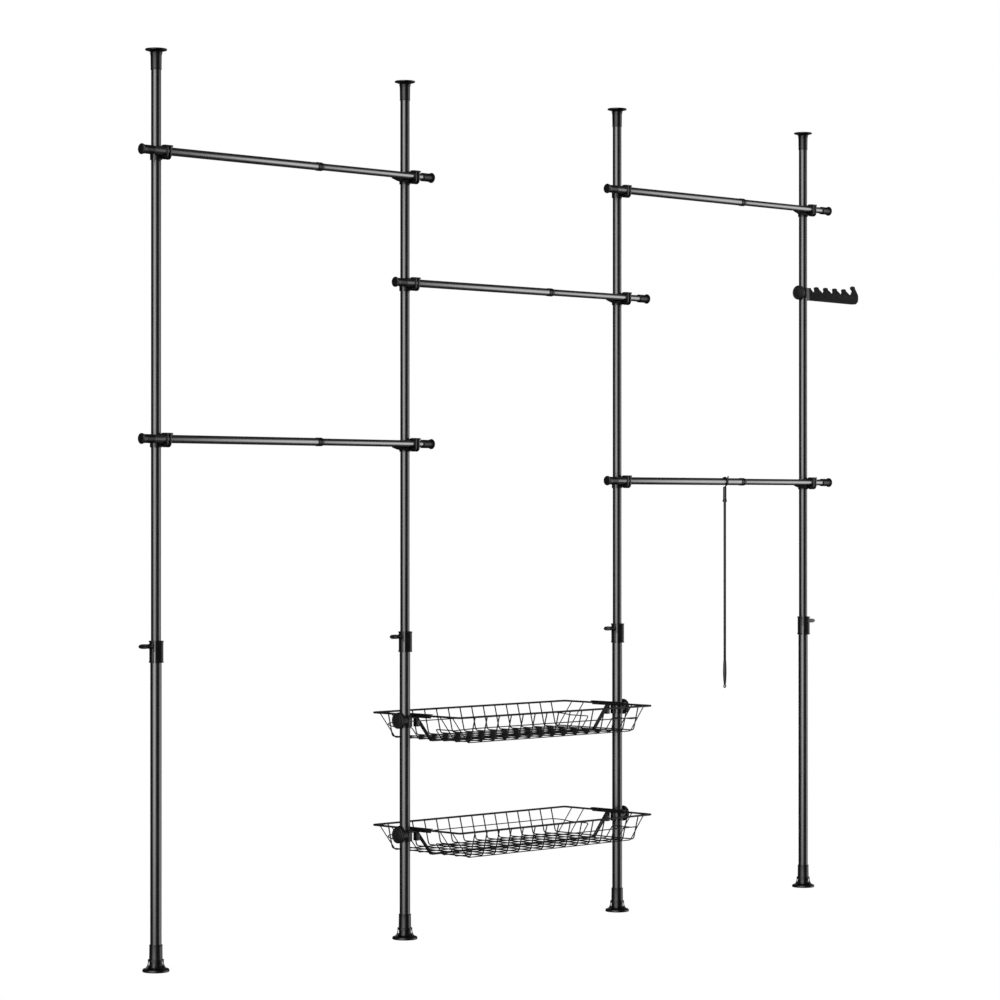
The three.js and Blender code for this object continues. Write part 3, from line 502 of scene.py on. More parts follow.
@dataclass(frozen=True)
class PolePad(Fitting):
    """The ribbed foot or ceiling cap of a pole: disc, gussets, collar and sleeve.

    Attributes:
        disc_radius: Radius of the disc.
        disc: Thickness of the disc.
        neck_radius: Radius of the neck between the gussets.
        collar_radius: Radius of the ring that the gussets end under.
        collar: Lowest and highest point of that ring.
        sleeve_radius: Outer radius of the sleeve at its mouth.
        bore: Radius of the tube's seat.
        height: Height of the sleeve's mouth.
        gusset_reach: How far out the gussets start.
    """

    disc_radius: float
    disc: float
    neck_radius: float
    collar_radius: float
    collar: tuple[float, float]
    sleeve_radius: float
    bore: float
    height: float
    gusset_reach: float
    gussets: int = 8
    gusset_thickness: float = 2.8

    def shape(self, work: Workshop) -> None:
        """Turns the disc with its sleeve and sets the gussets round it.

        Args:
            work: Its workshop.
        """
        low, high = self.collar
        disc, edge, neck = self.disc, self.disc_radius, self.neck_radius
        sleeve, height = self.sleeve_radius, self.height
        work.turned([
            (0, 0), (edge - 0.8, 0, 0.6), (edge, 1.4, 0.8), (edge, disc * 0.72, disc * 0.2),
            (edge - 2.4, disc, 1.6), (neck + 4.0, disc + 0.8, 3.2), (neck, disc + 6.0, 2.5), (neck, low),
            (self.collar_radius, low, 0.5), (self.collar_radius, high, 0.7), (sleeve + 0.4, high + 0.3, 0.3),
            (sleeve - 0.2, height - 3.4, 0.3), (sleeve + 0.25, height - 2.8, 0.3),
            (sleeve + 0.25, height, 0.6), (self.bore, height, 0.3), (self.bore, disc - 1.0), (0, disc - 1.0),
        ], segments=64)
        for i in range(self.gussets):
            work.plate(self._gusset(), self.gusset_thickness, 0.35,
                       Matrix.Rotation(2 * math.pi * i / self.gussets, 4, "Z"))

    def _gusset(self) -> list[Corner]:
        """Returns the outline of one gusset: a curved web with a small window next to the neck.

        Returns:
            Radius and height of each corner.
        """
        low, tip, root = self.collar[0], self.gusset_reach, self.neck_radius - 1.0
        top, rise = self.collar_radius - 0.3, self.collar[0] - self.disc
        turns = [math.radians(a) for a in range(0, 91, 10)]
        outside = [(tip - (tip - top) * math.sin(t), self.disc + rise * (1 - math.cos(t))) for t in turns]
        window = [(root, low - 0.1 * rise), (self.neck_radius + 1.6, low - 0.1 * rise, 0.5),
                  (self.neck_radius + 2.4, low - 0.55 * rise, 0.5), (root, low - 0.65 * rise)]
        foot = [(root, self.disc - 1.0), (tip, self.disc - 1.0)]
        return [*foot, *outside, (top, low + 1.0), (root, low + 1.0), *window]


FOOT = PolePad(40.2, 9.0, 19.4, 23.8, (31.0, 36.5), 19.6, 17.2, 80.0, 37.5)
CEILING_CAP = PolePad(32.7, 5.5, 16.4, 17.8, (14.5, 17.5), 16.4, 15.2, 62.0, 27.5)


@dataclass(frozen=True)
class PoleTube(Fitting):
    """One plain tube of a telescopic pole."""

    finish = POLE_POWDER
    slot = "pole_tube"
    making = "drawn"
    radius: float
    low: float
    high: float
    wall: float = 1.2

    def shape(self, work: Workshop) -> None:
        """Turns the tube."""
        work.sleeve(self.radius - self.wall, self.radius, self.low, self.high, 0.3)


@dataclass(frozen=True)
class LockCollar(Fitting):
    """Split collar that clamps the upper tube in the lower one, with its flanged ear and screw boss."""

    hand: Hand
    bottom: float = 917.0
    top: float = 982.0
    radius: float = 19.7
    flange_radius: float = 21.3
    bore: float = 17.2
    neck_bore: float = 15.2
    shoulder: float = 950.3
    slit_angle: float = 217.0
    slit_width: float = 6.0
    jaw_angle: float = 250.0
    knob_height: float = 966.0
    boss_radius: float = 8.6
    boss_reach: float = 23.0
    screw_hole: float = 3.4

    def shape(self, work: Workshop) -> None:
        """Turns the collar, adds its ear and boss, and bores and slits it.

        Args:
            work: Its workshop.
        """
        bottom, top, flange = self.bottom, self.top, self.flange_radius
        work.turned([
            (self.bore - 1.5, bottom), (flange, bottom, 0.5), (flange, bottom + 3.6, 0.5),
            (self.radius, bottom + 4.6, 0.6), (self.radius, top - 4.6, 0.6), (flange, top - 3.6, 0.5),
            (flange, top, 0.6), (self.neck_bore - 1.5, top),
        ], segments=64, closed=True)
        jaw = Matrix.Rotation(math.radians(self.jaw_angle), 4, "Z")
        work.block((self.bore - 1, -8, bottom + 1.5), (20.6, 8, top - 1.5), 0.6, jaw)
        work.block((3.2, -21.5, bottom + 0.5), (6.4, -self.bore + 1, top - 0.5), 0.5)
        for low in (bottom, top - 3.2):
            work.block((0.5, -24.4, low), (10.4, -self.bore + 1, low + 3.2), 0.6)
        work.block((1.2, -23.4, bottom + 1.0), (9.6, -20.6, top - 1.0), 0.3)
        boss, root = shift(z=self.knob_height) @ self.hand.turn() @ ALONG_X, self.boss_radius + 2.5
        work.turned([(0, 8), (root, 8), (root, 18.2, 2.0), (self.boss_radius, 20.5, 1.0),
                     (self.boss_radius, self.boss_reach, 0.6), (0, self.boss_reach)], segments=32, place=boss)
        work.cuts().turned([(0, bottom - 5), (self.bore, bottom - 5), (self.bore, self.shoulder),
                            (self.neck_bore, self.shoulder), (self.neck_bore, top + 5), (0, top + 5)],
                           segments=64)
        slit, half = Matrix.Rotation(math.radians(self.slit_angle), 4, "Z"), self.slit_width / 2
        work.cuts().block((5, -half, bottom - 3), (30, half, top + 3), 0.0, slit)
        work.bore(self.screw_hole, 6, 30, 24, boss)


@dataclass(frozen=True)
class WingKnob(Fitting):
    """Wing knob of a lock collar: a screw, a round root and an oval wing."""

    hand: Hand
    screw: float = 2.8
    root: float = 23.3
    tip: float = 65.0
    half_height: float = 7.3
    half_thickness: float = 3.8

    def shape(self, work: Workshop) -> None:
        """Turns the screw and the root, and cuts the wing.

        Args:
            work: Its workshop.
        """
        root, tip, half = self.root, self.tip, self.half_height
        work.turned([(0, 15.2), (self.screw, 15.2, 0.4), (self.screw, root), (7.6, root, 0.6),
                     (7.4, root + 4.0, 1.5), (6.0, root + 10.0, 4.0), (5.0, root + 16.0), (0, root + 16.0)],
                    segments=32, place=self.hand.turn() @ ALONG_X)
        work.plate([
            (root + 3.0, -half + 1.2, 1.5), (tip - 22, -half, 8), (tip - 7, -half + 0.8, 6), (tip, 0, 4.5),
            (tip - 7, half - 0.8, 6), (tip - 22, half, 8), (root + 3.0, half - 1.2, 1.5),
        ], 2 * self.half_thickness, 1.8, self.hand.turn())


@dataclass
class Pole:
    """A telescopic pole from floor to ceiling with its foot, cap, collar and wing knob."""

    tag: int
    lower_body: str
    upper_body: str
    knob_hand: Hand
    height: float = 2740.0

    def build(self) -> None:
        """Builds every piece of the pole."""
        place = shift(POLE_PLACES[self.tag - 1])
        FOOT.build(f"foot_{self.tag}", self.lower_body, place)
        PoleTube(16.9, 8.4, 950.0).build(f"lower_tube_{self.tag}", self.lower_body, place)
        PoleTube(14.9, 530.0, self.height - 6.0).build(f"upper_tube_{self.tag}", self.upper_body, place)
        ceiling = place @ shift(z=self.height) @ UPSIDE_DOWN
        CEILING_CAP.build(f"ceiling_cap_{self.tag}", self.upper_body, ceiling)
        collar, knob = LockCollar(self.knob_hand), f"lock_knob_{self.tag}"
        collar.build(f"lock_collar_{self.tag}", self.lower_body, place)
        WingKnob(self.knob_hand).build(knob, knob, place @ shift(z=collar.knob_height))


@dataclass
class ClothesRail:
    """A telescopic rail: outer tube, inner tube, two capped ends and the clamps on its two poles.

    Attributes:
        tag: Number of the rail.
        left_pole: Index of the pole at its left.
        height: Height of the rail's middle.
        left: How far it stands out past the left pole.
        joint: Where the outer tube ends, counted from the left pole.
        right: How far it stands out past the right pole.
        outer_body: Body of the outer half.
        inner_body: Body of the inner half.
    """

    tag: int
    left_pole: int
    height: float
    left: float
    joint: float
    right: float
    outer_body: str
    inner_body: str
    outer_radius: float = 12.4
    inner_radius: float = 10.9
    wall: float = 1.0
    head_radius: float = 16.5
    cap_radius: float = 13.75
    ring_radius: float = 13.6
    overlap: float = 250.0

    def _cap(self, side: str, radius: float, body: str, node: str, place: Matrix) -> None:
        """Builds one round-headed end cap over the end of a tube.

        Args:
            side: The end that it closes.
            radius: Radius of the tube.
            body: The body that it rides on.
            node: The node that holds it.
            place: Its place, with the head at the origin.
        """
        work = Workshop(f"rail_{self.tag}_{side}_cap_moulding")
        head, cap, seat = self.head_radius, self.cap_radius, radius + 0.1
        work.turned([
            (0, 0), (head - 4.0, 0.1, 1.0), (head, 1.6, 1.4), (head, 4.6, 1.6), (cap + 0.5, 8.0, 2.0),
            (cap - 0.4, 16.0, 1.5), (cap - 0.2, 42.0, 0.3), (cap, 45.5, 0.5), (seat, 45.5, 0.2), (seat, 8.8),
            (0, 8.8),
        ], segments=48, place=place)
        work.finished(MOULDED_NYLON, body, node, Matrix.Identity(4))

    def _joint_ring(self, end: float, along: Matrix, middle: Matrix) -> None:
        """Builds the moulded ring, beaded in its middle, that closes the outer tube's mouth.

        Args:
            end: Where it starts, counted from the head of the outer tube's cap.
            along: Its place on the rail, with that head at the origin.
            middle: The rail's place.
        """
        work = Workshop(f"rail_{self.tag}_joint_ring_moulding")
        ring, groove = self.ring_radius, self.ring_radius - 0.6
        seat, bore = self.outer_radius + 0.1, self.outer_radius - self.wall
        work.turned([(seat, end + 0.2, 0.3), (ring, end + 0.2, 0.7), (ring, end + 8.5, 0.5),
                     (groove, end + 9.3, 0.3), (groove, end + 10.3, 0.3), (ring, end + 11.1, 0.5),
                     (ring, end + 20.5, 1.4), (12.0, end + 25.0, 0.6), (bore, end + 25.0, 0.3),
                     (bore, end + 12.2), (seat, end + 12.2)], segments=48, place=along, closed=True)
        work.finished(MOULDED_NYLON, self.outer_body, f"rail_{self.tag}_outer_tube", middle)

    def build(self) -> None:
        """Builds both halves of the rail and its clamps."""
        start = POLE_PLACES[self.left_pole]
        bay = POLE_PLACES[self.left_pole + 1] - start
        middle = shift(start, -RAIL_STANDOFF, self.height)
        end, far = self.joint + self.left, bay + self.right
        along, back = shift(-self.left) @ ALONG_X, shift(far) @ HALF_TURN @ ALONG_X
        hidden = far - (self.joint - self.overlap)
        halves = (("outer", "left", self.outer_radius, end + 12.0, self.outer_body, along),
                  ("inner", "right", self.inner_radius, hidden, self.inner_body, back))
        for half, side, radius, reach, body, way in halves:
            node, bore = f"rail_{self.tag}_{half}_tube", radius - self.wall
            tube = Workshop(node + "_drawn")
            tube.turned([(bore, 9.0, 0.2), (radius, 9.0, 0.3), (radius, reach, 0.3), (bore, reach, 0.2)],
                        segments=48, place=way, closed=True)
            # The rail tube takes a brighter copy of the pole's powder: painted sheen.
            tube.finished(RAIL_POWDER_WITH_PAINTED_SHEEN, body, node, middle)
            if side == "left":
                self._joint_ring(end, way, middle)
            self._cap(side, radius, body, node, middle @ way)
        level = shift(start, 0, self.height)
        RailClamp(self.outer_radius).build(f"rail_{self.tag}_left_clamp", self.outer_body, level)
        right = RailClamp(self.inner_radius, lip=True)
        right.build(f"rail_{self.tag}_right_clamp", self.inner_body, level @ shift(bay))


@dataclass
class RailClamp(Fitting):
    """Clamp that holds a rail in front of a pole: split ring, ribbed strap and top tab."""

    rail_radius: float
    lip: bool = False
    pole_bore: float = 15.2
    wall: float = 2.9
    low: float = -25.0
    high: float = 12.0
    slit_angle: float = 200.0
    slit_width: float = 9.0
    strap: tuple[float, float] = (9.0, 23.0)
    strap_radius: float = 14.6
    ribs: tuple[float, float] = (7.0, 19.5)
    rib_width: float = 5.5
    rail_gap: float = 0.35
    lip_angle: float = 35.0

    def shape(self, work: Workshop) -> None:
        """Turns the pole's ring and the strap, adds ribs, tab and lip, and bores both.

        Args:
            work: Its workshop.
        """
        work.sleeve(self.pole_bore - 2, self.pole_bore + self.wall, self.low, self.high, 0.7, 48)
        front = shift(y=-RAIL_STANDOFF)
        work.sleeve(8, self.strap_radius, *self.strap, 0.0, 48, front @ ALONG_X)
        rib = [(-15.2, 16.0, 2.0), (15.2, 16.0, 2.0), (15.2, -16.5, 5.0), (7.6, -25.0, 5.0),
               (-7.6, -25.0, 5.0), (-15.2, -16.5, 5.0)]
        for low in self.ribs:
            middle = front @ shift(low + self.rib_width / 2)
            work.plate(rib, self.rib_width, 0.6, middle @ Matrix.Rotation(math.pi / 2, 4, "Z"))
        work.block((4, -8 - RAIL_STANDOFF, 12.5), (36.5, 8 - RAIL_STANDOFF, 18.5), 1.0)
        if self.lip:
            # It hangs just below the joint ring, so the outer tube can slide in over it.
            under = [(-76, -14.1), (10, -14.1), (10, -23.0), (-48, -22.0, 8), (-60, -18.5, 8),
                     (-70, -15.6, 4)]
            work.plate(under, 8, 0.4, front @ Matrix.Rotation(math.radians(self.lip_angle), 4, "X"))
        work.bore(self.pole_bore, -60, 60, 48)
        work.bore(self.rail_radius + self.rail_gap, -60, 60, 48, front @ ALONG_X)
        work.cuts().block((12.8, -18 - RAIL_STANDOFF, -9.5), (19.2, 1 - RAIL_STANDOFF, 9.5))
        slit, half = Matrix.Rotation(math.radians(self.slit_angle), 4, "Z"), self.slit_width / 2
        work.cuts().block((5, -half, self.low - 3), (30, half, self.high + 3), 0.0, slit)


@dataclass
class WireBasket:
    """A wire basket between the two middle poles, with a bracket and a round knob at each end."""

    name: str
    rim: float
    half_length: float = 449.5
    half_width: float = 202.5
    depth: float = 83.0
    end_slope: float = 68.0
    side_slope: float = 21.0
    rim_radius: float = 3.3
    wire_radius: float = 2.1
    long_radius: float = 1.7
    strut_radius: float = 3.0
    strut_offset: float = 4.5
    tuck: float = 0.8
    cross_wires: int = 15
    cross_pitch: float = 54.6
    long_steps: tuple[int, ...] = (-3, -2, 2, 3)
    long_pitch: float = 56.0
    waist_radius: float = 1.8
    waist_corner: float = 48.0
    waist_drop: float = 36.5
    waist_step: float = 8.0

    def build(self) -> None:
        """Builds the basket, its brackets and its knobs."""
        middle = (POLE_PLACES[1] + POLE_PLACES[2]) / 2
        work = Workshop(self.name + "_wirework")
        x, y = self.half_length, self.half_width
        rim = [(0, -y, 0), (x, -y, 0), (x, y, 0), (-x, y, 0), (-x, -y, 0), (0, -y, 0)]
        work.bent_wire(rim, self.rim_radius, 9.0, sides=12, steps=6, closed=True)
        self._wall_wires(work)
        self._struts(work)
        self._waist(work)
        work.finished(DIPPED_WIRE, self.name, self.name, shift(middle, 0, self.rim))
        bracket = BasketBracket()
        for hand, pole in ((Hand.LEFT, POLE_PLACES[1]), (Hand.RIGHT, POLE_PLACES[2])):
            place = shift(pole, 0, self.rim) @ hand.turn()
            bracket.build(f"{self.name}_{hand.value}_bracket", self.name, place)
            knob = f"{self.name}_{hand.value}_knob"
            RoundKnob(17.2, 24.3).build(knob, knob, place @ shift(z=-bracket.knob_drop))

    def _waist(self, work: Workshop) -> None:
        """Bends the two thin loops that hold the walls at half height.

        Each runs along a long wall and round both corners, steps down a little on the end walls, and
        comes back through the floor.

        Args:
            work: The workshop of the wirework.
        """
        share = self.waist_drop / self.depth
        x = self.half_length - share * self.end_slope + 1.0
        inner = x - self.waist_step / self.depth * self.end_slope
        level, low, floor = -self.waist_drop, -self.waist_drop - self.waist_step, -self.depth
        foot = self.half_length - self.end_slope
        for side in (-1, 1):
            y = side * (self.half_width - share * self.side_slope + 2.6)
            gap, turn = side * self.long_pitch, side * (self.half_width - self.waist_corner - 10.0)
            work.bent_wire([
                (0, gap, floor), (-foot, gap, floor), (-inner, gap, low, 6.0), (-inner, turn, low),
                (-x, y, level, self.waist_corner), (x, y, level, self.waist_corner), (inner, turn, low),
                (inner, gap, low, 6.0), (foot, gap, floor), (0, gap, floor),
            ], self.waist_radius, 11.0, sides=8, steps=7, closed=True)

    def _wall_wires(self, work: Workshop) -> None:
        """Bends the wires that run across the basket, and those along it, up the walls at both their ends.

        Args:
            work: The workshop of the wirework.
        """
        floor = -self.depth + self.long_radius + self.wire_radius
        y, foot = self.half_width, self.half_width - self.side_slope
        for i in range(self.cross_wires):
            x = (i - (self.cross_wires - 1) / 2) * self.cross_pitch
            work.bent_wire([(x, -y, -self.tuck), (x, -foot, floor), (x, foot, floor), (x, y, -self.tuck)],
                           self.wire_radius, 11.0, sides=8)
        x, foot = self.half_length, self.half_length - self.end_slope
        for step in self.long_steps:
            y = step * self.long_pitch
            work.bent_wire([(-x, y, -self.tuck), (-foot, y, -self.depth), (foot, y, -self.depth),
                            (x, y, -self.tuck)], self.long_radius, 13.0, sides=8)

    def _struts(self, work: Workshop) -> None:
        """Bends the pair of stout wires that carry the basket from bracket to bracket.

        Args:
            work: The workshop of the wirework.
        """
        x, foot, top = self.half_length, self.half_length - self.end_slope, -2.6
        floor = -self.depth - self.strut_radius + self.long_radius
        for y in (-self.strut_offset, self.strut_offset):
            work.bent_wire([(-x - 7.5, y, top), (-x - 0.5, y, top), (-foot, y, floor), (foot, y, floor),
                            (x + 0.5, y, top), (x + 7.5, y, top)], self.strut_radius, 8.0, sides=10)


@dataclass
class BasketBracket(Fitting):
    """Clamp that carries a basket's end, drawn with its boss towards +X and its arm towards -X."""

    bore: float = 17.2
    wall: float = 3.1
    below: float = 36.0
    above: float = 2.0
    boss_radius: float = 20.5
    boss_reach: float = 24.0
    screw_hole: float = 4.4
    knob_drop: float = 14.0
    face: float = 45.2
    half_plate: float = 75.0
    slit_angle: float = 217.0

    def shape(self, work: Workshop) -> None:
        """Turns the ring and the boss, adds the arm and its cross plate, and bores them.

        Args:
            work: Its workshop.
        """
        face, half, below, above = self.face, self.half_plate, -self.below, self.above
        work.sleeve(self.bore - 2, self.bore + self.wall, below, above, 0.8)
        work.block((-27.5, -6, below), (-14, 6, above), 0.8)
        work.block((-face, -8, -8.5), (-14, 8, above), 0.8)
        work.block((-58.5, -8, below), (-face + 1.0, 8, -16.0), 0.9)
        work.block((-face - 1.5, -8, -17.0), (-face + 0.6, 8, above), 0.5)
        work.block((-face, -half, -7.0), (-face + 6, half, 6.3), 0.9)
        work.block((-face - 8, -half, 3.6), (-face + 6, half, 6.3), 0.9)
        boss = shift(z=-self.knob_drop) @ ALONG_X
        work.turned([(0, 6), (self.boss_radius, 6), (self.boss_radius, self.boss_reach - 4.0, 0.6),
                     (self.boss_radius - 1.0, self.boss_reach, 0.8), (0, self.boss_reach)],
                    segments=64, place=boss)
        work.bore(self.bore, -60, 60)
        slit = Matrix.Rotation(math.radians(self.slit_angle), 4, "Z")
        work.cuts().block((5, -3, below - 4), (24, 3, above + 4), 0.0, slit)
        work.bore(self.screw_hole, 5, 40, 24, boss)
        for y in (-WireBasket.strut_offset, WireBasket.strut_offset):
            work.bore(WireBasket.strut_radius + 0.1, -8, 8, 16, shift(-face, y, -2.6) @ ALONG_X)


@dataclass
class RoundKnob(Fitting):
    """Round clamp knob with a ringed face, drawn with its face towards +X."""

    finish = GRAINED_NYLON
    tip: float
    back: float
    radius: float = 25.8
    thickness: float = 10.5
    screw: float = 3.8

    def shape(self, work: Workshop) -> None:
        """Turns the screw and the knob with its ringed face.

        Args:
            work: Its workshop.
        """
        low, high, rim = self.back, self.back + self.thickness, self.radius
        work.turned([
            (0, self.tip), (self.screw, self.tip, 0.4), (self.screw, low), (rim - 1.2, low, 0.6),
            (rim, low + 1.4, 0.8), (rim, high - 1.6, 1.2), (rim - 1.8, high, 0.8), (rim - 4.2, high, 0.5),
            (rim - 4.8, high - 0.9, 0.3), (rim - 11.0, high - 0.9, 0.3), (rim - 11.6, high - 0.3, 0.3),
            (0, high - 0.1),
        ], segments=72, place=ALONG_X)


@dataclass
class HookRack:
    """Row of coat hooks on a clamp that swivels round the right pole."""

    height: float = 2158.0
    bore: float = 15.4
    wall: float = 3.2
    half_height: float = 18.0
    screw_hole: float = 4.4
    first: float = 76.0
    pitch: float = 52.5
    count: int = 5
    head: float = 12.5
    thickness: float = 5.0

    def build(self) -> None:
        """Builds the clamp, the hook bar and the knob."""
        place = shift(POLE_PLACES[3], 0, self.height)
        self._clamp(place)
        bar = Workshop("hook_rack_bar_moulding")
        bar.plate(self._outline(), self.thickness, 1.0)
        bar.block((26.9, -8.3, -26.5), (36.6, 8.3, 19.0), 0.8)
        bar.finished(ERODED_NYLON, "hook_rack", "hook_rack_bar", place)
        RoundKnob(15.2, 19.3).build("hook_rack_knob", "hook_rack_knob", place @ HALF_TURN)

    def _clamp(self, place: Matrix) -> None:
        """Builds the ring that holds the rack on the pole.

        Args:
            place: Its place.
        """
        work = Workshop("hook_rack_clamp_moulding")
        lean = HALF_TURN @ ALONG_X
        work.sleeve(self.bore - 2, self.bore + self.wall, -self.half_height, self.half_height, 0.8)
        work.turned([(0, 6), (16.5, 6), (16.5, 17.5, 0.6), (15.8, 19, 0.5), (0, 19)], segments=48, place=lean)
        work.block((12, -8, -25.0), (26.6, 8, 17.0), 0.6)
        work.bore(self.bore, -40, 40)
        work.bore(self.screw_hole, 5, 40, 24, lean)
        work.finished(MOULDED_NYLON, "hook_rack", "hook_rack_clamp", place)

    def _outline(self) -> list[Corner]:
        """Returns the bar's outline: a row of hooks that lean towards the pole.

        Returns:
            X, Z and rounding of each corner.
        """
        turns = [math.radians(a) for a in range(214, -15, -12)]
        corners: list[Corner] = [(34.0, -26.5), (34.0, 19.0, 1.5), (42.0, 17.0, 6.0)]
        for i in range(self.count):
            last = i == self.count - 1
            tip = self.first + i * self.pitch
            top, half = (30.0, 7.6) if last else (18.4, 6.4)
            corners += [(tip - 15.5, 1.2, 3.0), (tip - 7.0, 10.2, 2.5) if last else (tip - 11.0, 9.2, 2.5)]
            if last:
                corners.append((tip - 2.5, top - 11.0, 2.0))
            corners += [(tip + self.head * math.cos(t), top + half * math.sin(t)) for t in turns]
            if not last:
                corners.append((tip + 23.5, 12.0, 10.0))
        return corners + [(307.0, 20.0, 16.0), (318.0, 2.0, 16.0), (316.0, -18.0, 9.0), (304.0, -28.5, 7.0),
                          (283.0, -30.0, 10.0)]


@dataclass
class PullRod:
    """Rod that hangs on a rail by its wire hook and pulls hangers down."""

    place_x: float = POLE_PLACES[2] + 527.0
    height: float = 1469.0
    wire: float = 2.5
    seat: float = 12.3
    tail: float = 118.0
    rod: float = 4.5

    def build(self) -> None:
        """Builds the hook with its ferrule, the rod and the grip."""
        place = shift(self.place_x, -RAIL_STANDOFF, self.height)
        self._hook(place)
        rod = Workshop("pull_rod_tube_drawn")
        rod.turned([(0, -658.7), (self.rod, -658.7, 0.3), (self.rod, -42.4, 0.3), (0, -42.4)], segments=32)
        rod.finished(ROD_POWDER, "pull_rod", "pull_rod_tube", place)
        grip = Workshop("pull_rod_grip_moulding")
        grip.turned([(0, -659), (4.7, -659), (4.7, -631, 0.2), (5.2, -631, 0.2), (6.2, -655, 12.0),
                     (6.4, -680, 12.0), (4.6, -709, 6.0), (3.0, -716.5, 1.5), (0, -716.5)], segments=32)
        grip.turned([(3.1, -1.5, 0.5), (6.9, -1.5, 0.8), (6.9, 1.5, 0.8), (3.1, 1.5, 0.5)],
                    segments=32, place=shift(z=-720.5) @ ALONG_Y, closed=True)
        grip.finished(MOULDED_NYLON, "pull_rod", "pull_rod_grip", place)

    def _hook(self, place: Matrix) -> None:
        """Builds the wire hook round the rail, with its bent-out end and its ferrule.

        Args:
            place: Its place, with the rail's middle at the origin.
        """
        work = Workshop("pull_rod_hook_forming")
        turn, tail = self.seat + self.wire, math.radians(self.tail)
        arc = [(0.0, -turn * math.sin(a), -turn * math.cos(a)) for a in map(math.radians, range(24, 241, 18))]
        work.bent_wire([(0, 0, -24), (0, 0, -19.5), (0, arc[0][1], arc[0][2] - 0.6), *arc[1:]],
                       self.wire, 1.6, sides=12, steps=2, end_round=1.2)
        rise, out = -turn * math.cos(tail), -turn * math.sin(tail)
        work.bent_wire([(0, out, rise), (0, out - 3.0, rise + 12.5)], self.wire, 1.6, sides=12, end_round=1.4)
        work.turned([(0, -17), (4.0, -17, 1.2), (6.0, -20.0, 1.2), (6.0, -61, 2.0), (7.6, -66, 0.8),
                     (7.6, -71.5, 1.0), (4.8, -71.5, 0.3), (4.8, -42), (0, -42)], segments=32)
        work.finished(MOULDED_NYLON, "pull_rod", "pull_rod_hook", place)


@dataclass(frozen=True)
class Softbox:
    """A large soft light so far off that every piece sees it the same way.

    Attributes:
        bearing: Where its middle stands, in degrees round the rack, counted from +X towards +Y.
        half_width: Half its width in degrees, to the middle of its soft edge.
        rise: Height of its middle over the horizon, as the sine of that angle.
        half_height: Half its height, measured like its rise.
        edge: How much of each half its soft edge takes, from 0 to 1.
        strength: Its brightness, where 1 is the white of the backdrop.
    """

    bearing: float
    half_width: float
    rise: float
    half_height: float
    edge: float
    strength: float

    def glow(self, tree: Tree, direction: Socket) -> Socket:
        """Adds the nodes that give its brightness in each direction.

        Args:
            tree: The world's node tree.
            direction: The direction from the rack.

        Returns:
            The brightness.
        """
        faced = add_node(tree, "ShaderNodeVectorRotate", {"rotation_type": "Z_AXIS"},
                         {"Vector": direction, "Angle": -math.radians(self.bearing)})
        axes = add_node(tree, "ShaderNodeSeparateXYZ", None, {"Vector": faced.outputs["Vector"]}).outputs
        turn = reckon(tree, "ARCTAN2", axes["Y"], axes["X"])
        lift = reckon(tree, "SUBTRACT", axes["Z"], self.rise)
        across = self._window(tree, turn, math.radians(self.half_width))
        upward = self._window(tree, lift, self.half_height)
        return reckon(tree, "MULTIPLY", reckon(tree, "MULTIPLY", across, upward), self.strength)

    def _window(self, tree: Tree, off: Socket, half: float) -> Socket:
        """Adds the nodes of one soft-edged window.

        Args:
            tree: The world's node tree.
            off: Distance from the window's middle.
            half: Half its width.

        Returns:
            One inside, nought outside, with a soft edge between.
        """
        soft = add_node(tree, "ShaderNodeMapRange", {"interpolation_type": "SMOOTHSTEP"},
                        {"Value": reckon(tree, "ABSOLUTE", off), "From Min": half * (1 + self.edge),
                         "From Max": half * (1 - self.edge), "To Min": 0.0, "To Max": 1.0})
        return soft.outputs["Result"]


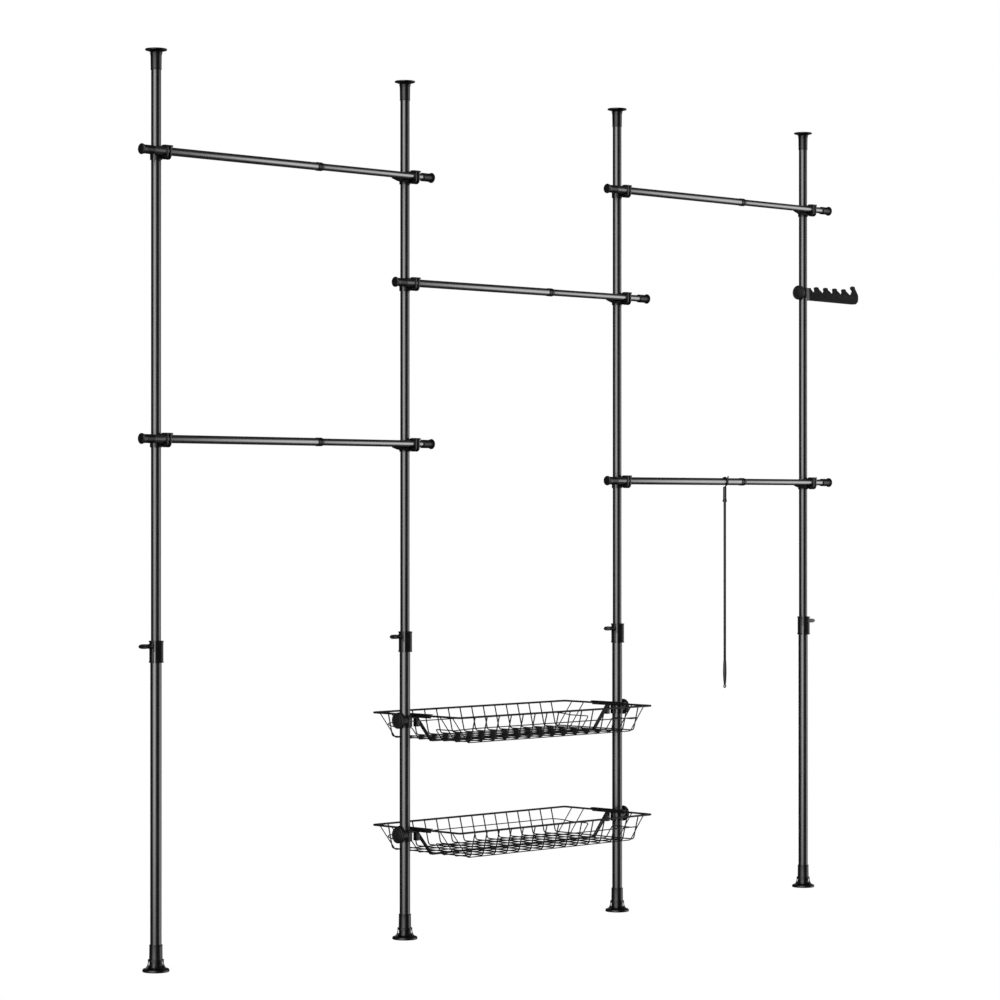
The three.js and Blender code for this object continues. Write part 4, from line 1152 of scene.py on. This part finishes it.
@dataclass
class Studio:
    """White sweep, soft lights and the camera at the photograph's place."""

    lens: float = 114.93
    camera_place: tuple[float, float, float] = (-7.600, -7.425, 1.3762)
    tilt: float = 0.143
    heading: float = -45.0
    fill: float = 0.05
    floor_size: float = 30.0
    paper_glow: float = 1.09
    paper_share: float = 0.9
    softboxes: tuple[Softbox, ...] = (
        Softbox(-161.0, 26.0, 0.25, 0.55, 0.6, 3.5),
        Softbox(-31.0, 23.0, -0.05, 0.36, 0.6, 2.0),
    )

    def build(self) -> None:
        """Sets up the backdrop, the lights and the camera."""
        self._floor()
        self._world()
        self._camera()

    def _floor(self) -> None:
        """Lays the pale floor, which the camera sees as white with a soft shadow."""
        grid = bmesh.new()
        bmesh.ops.create_grid(grid, x_segments=1, y_segments=1, size=self.floor_size)
        data = bpy.data.meshes.new("Studio floor")
        grid.to_mesh(data)
        grid.free()
        floor = bpy.data.objects.new("Studio floor", data)
        bpy.context.scene.collection.objects.link(floor)
        paper = bpy.data.materials.new("White backdrop paper")
        paper.use_nodes = True
        tree = paper.node_tree
        tree.nodes.clear()
        matt = add_node(tree, "ShaderNodeBsdfDiffuse", None, {"Color": linear("B4B4B4")})
        white = add_node(tree, "ShaderNodeEmission", None,
                         {"Color": linear("FFFFFF"), "Strength": self.paper_glow})
        rays = add_node(tree, "ShaderNodeLightPath").outputs
        share = reckon(tree, "MULTIPLY", rays["Is Camera Ray"], self.paper_share)
        unseen = reckon(tree, "MAXIMUM", rays["Is Glossy Ray"], rays["Is Shadow Ray"])
        clear = add_node(tree, "ShaderNodeBsdfTransparent")
        shown = blend(tree, unseen, blend(tree, share, matt, white), clear)
        add_node(tree, "ShaderNodeOutputMaterial", None, {"Surface": shown.outputs["Shader"]})
        data.materials.append(paper)

    def _world(self) -> None:
        """Fills the room with even light and shows white behind the rack."""
        world = bpy.data.worlds.new("White room")
        bpy.context.scene.world = world
        world.use_nodes = True
        tree = world.node_tree
        tree.nodes.clear()
        direction = add_node(tree, "ShaderNodeTexCoord").outputs["Generated"]
        level: Socket | float = self.fill
        for box in self.softboxes:
            level = reckon(tree, "ADD", level, box.glow(tree, direction))
        fill = add_node(tree, "ShaderNodeBackground", None, {"Color": linear("FFFFFF"), "Strength": level})
        white = add_node(tree, "ShaderNodeBackground", None, {"Color": linear("FFFFFF"), "Strength": 1.0})
        rays = add_node(tree, "ShaderNodeLightPath").outputs
        seen = reckon(tree, "MAXIMUM", rays["Is Camera Ray"], rays["Is Transmission Ray"])
        both = blend(tree, seen, fill, white)
        add_node(tree, "ShaderNodeOutputWorld", None, {"Surface": both.outputs["Shader"]})

    def _camera(self) -> None:
        """Places the camera where the photograph was taken from."""
        eye = bpy.data.cameras.new("Photo camera")
        eye.sensor_width, eye.lens, eye.clip_end = 36.0, self.lens, 100.0
        held = bpy.data.objects.new("Photo camera", eye)
        held.location = self.camera_place
        held.rotation_euler = (math.radians(90 + self.tilt), 0.0, math.radians(self.heading))
        bpy.context.scene.collection.objects.link(held)
        bpy.context.scene.camera = held


def main() -> None:
    """Builds the wardrobe, piece by piece, and its studio."""
    logging.basicConfig(level=logging.INFO, format="%(name)s: %(message)s")
    bpy.context.scene.view_settings.view_transform = "Standard"
    Studio().build()
    poles = [
        Pole(1, "left_lower", "left_upper", Hand.LEFT),
        Pole(2, "middle_lower", "middle_upper", Hand.LEFT),
        Pole(3, "middle_lower", "middle_upper", Hand.LEFT),
        Pole(4, "right_lower", "right_upper", Hand.RIGHT),
    ]
    rails = [
        ClothesRail(1, 0, 2435.0, 80.0, 611.0, 93.0, "rail_1_outer", "rail_1_inner"),
        ClothesRail(2, 0, 1581.0, 80.0, 611.0, 93.0, "rail_2_outer", "rail_2_inner"),
        ClothesRail(3, 1, 2094.0, 71.0, 624.0, 122.0, "rail_3", "rail_3"),
        ClothesRail(4, 2, 2460.0, 82.0, 607.0, 114.0, "rail_4_outer", "rail_4_inner"),
        ClothesRail(5, 2, 1469.0, 82.0, 607.0, 115.0, "rail_5_outer", "rail_5_inner"),
    ]
    baskets = [WireBasket("upper_basket", 712.0), WireBasket("lower_basket", 347.0)]
    for assembly in (*poles, *rails, *baskets, HookRack(), PullRod()):
        assembly.build()


if __name__ == "__main__":
    main()
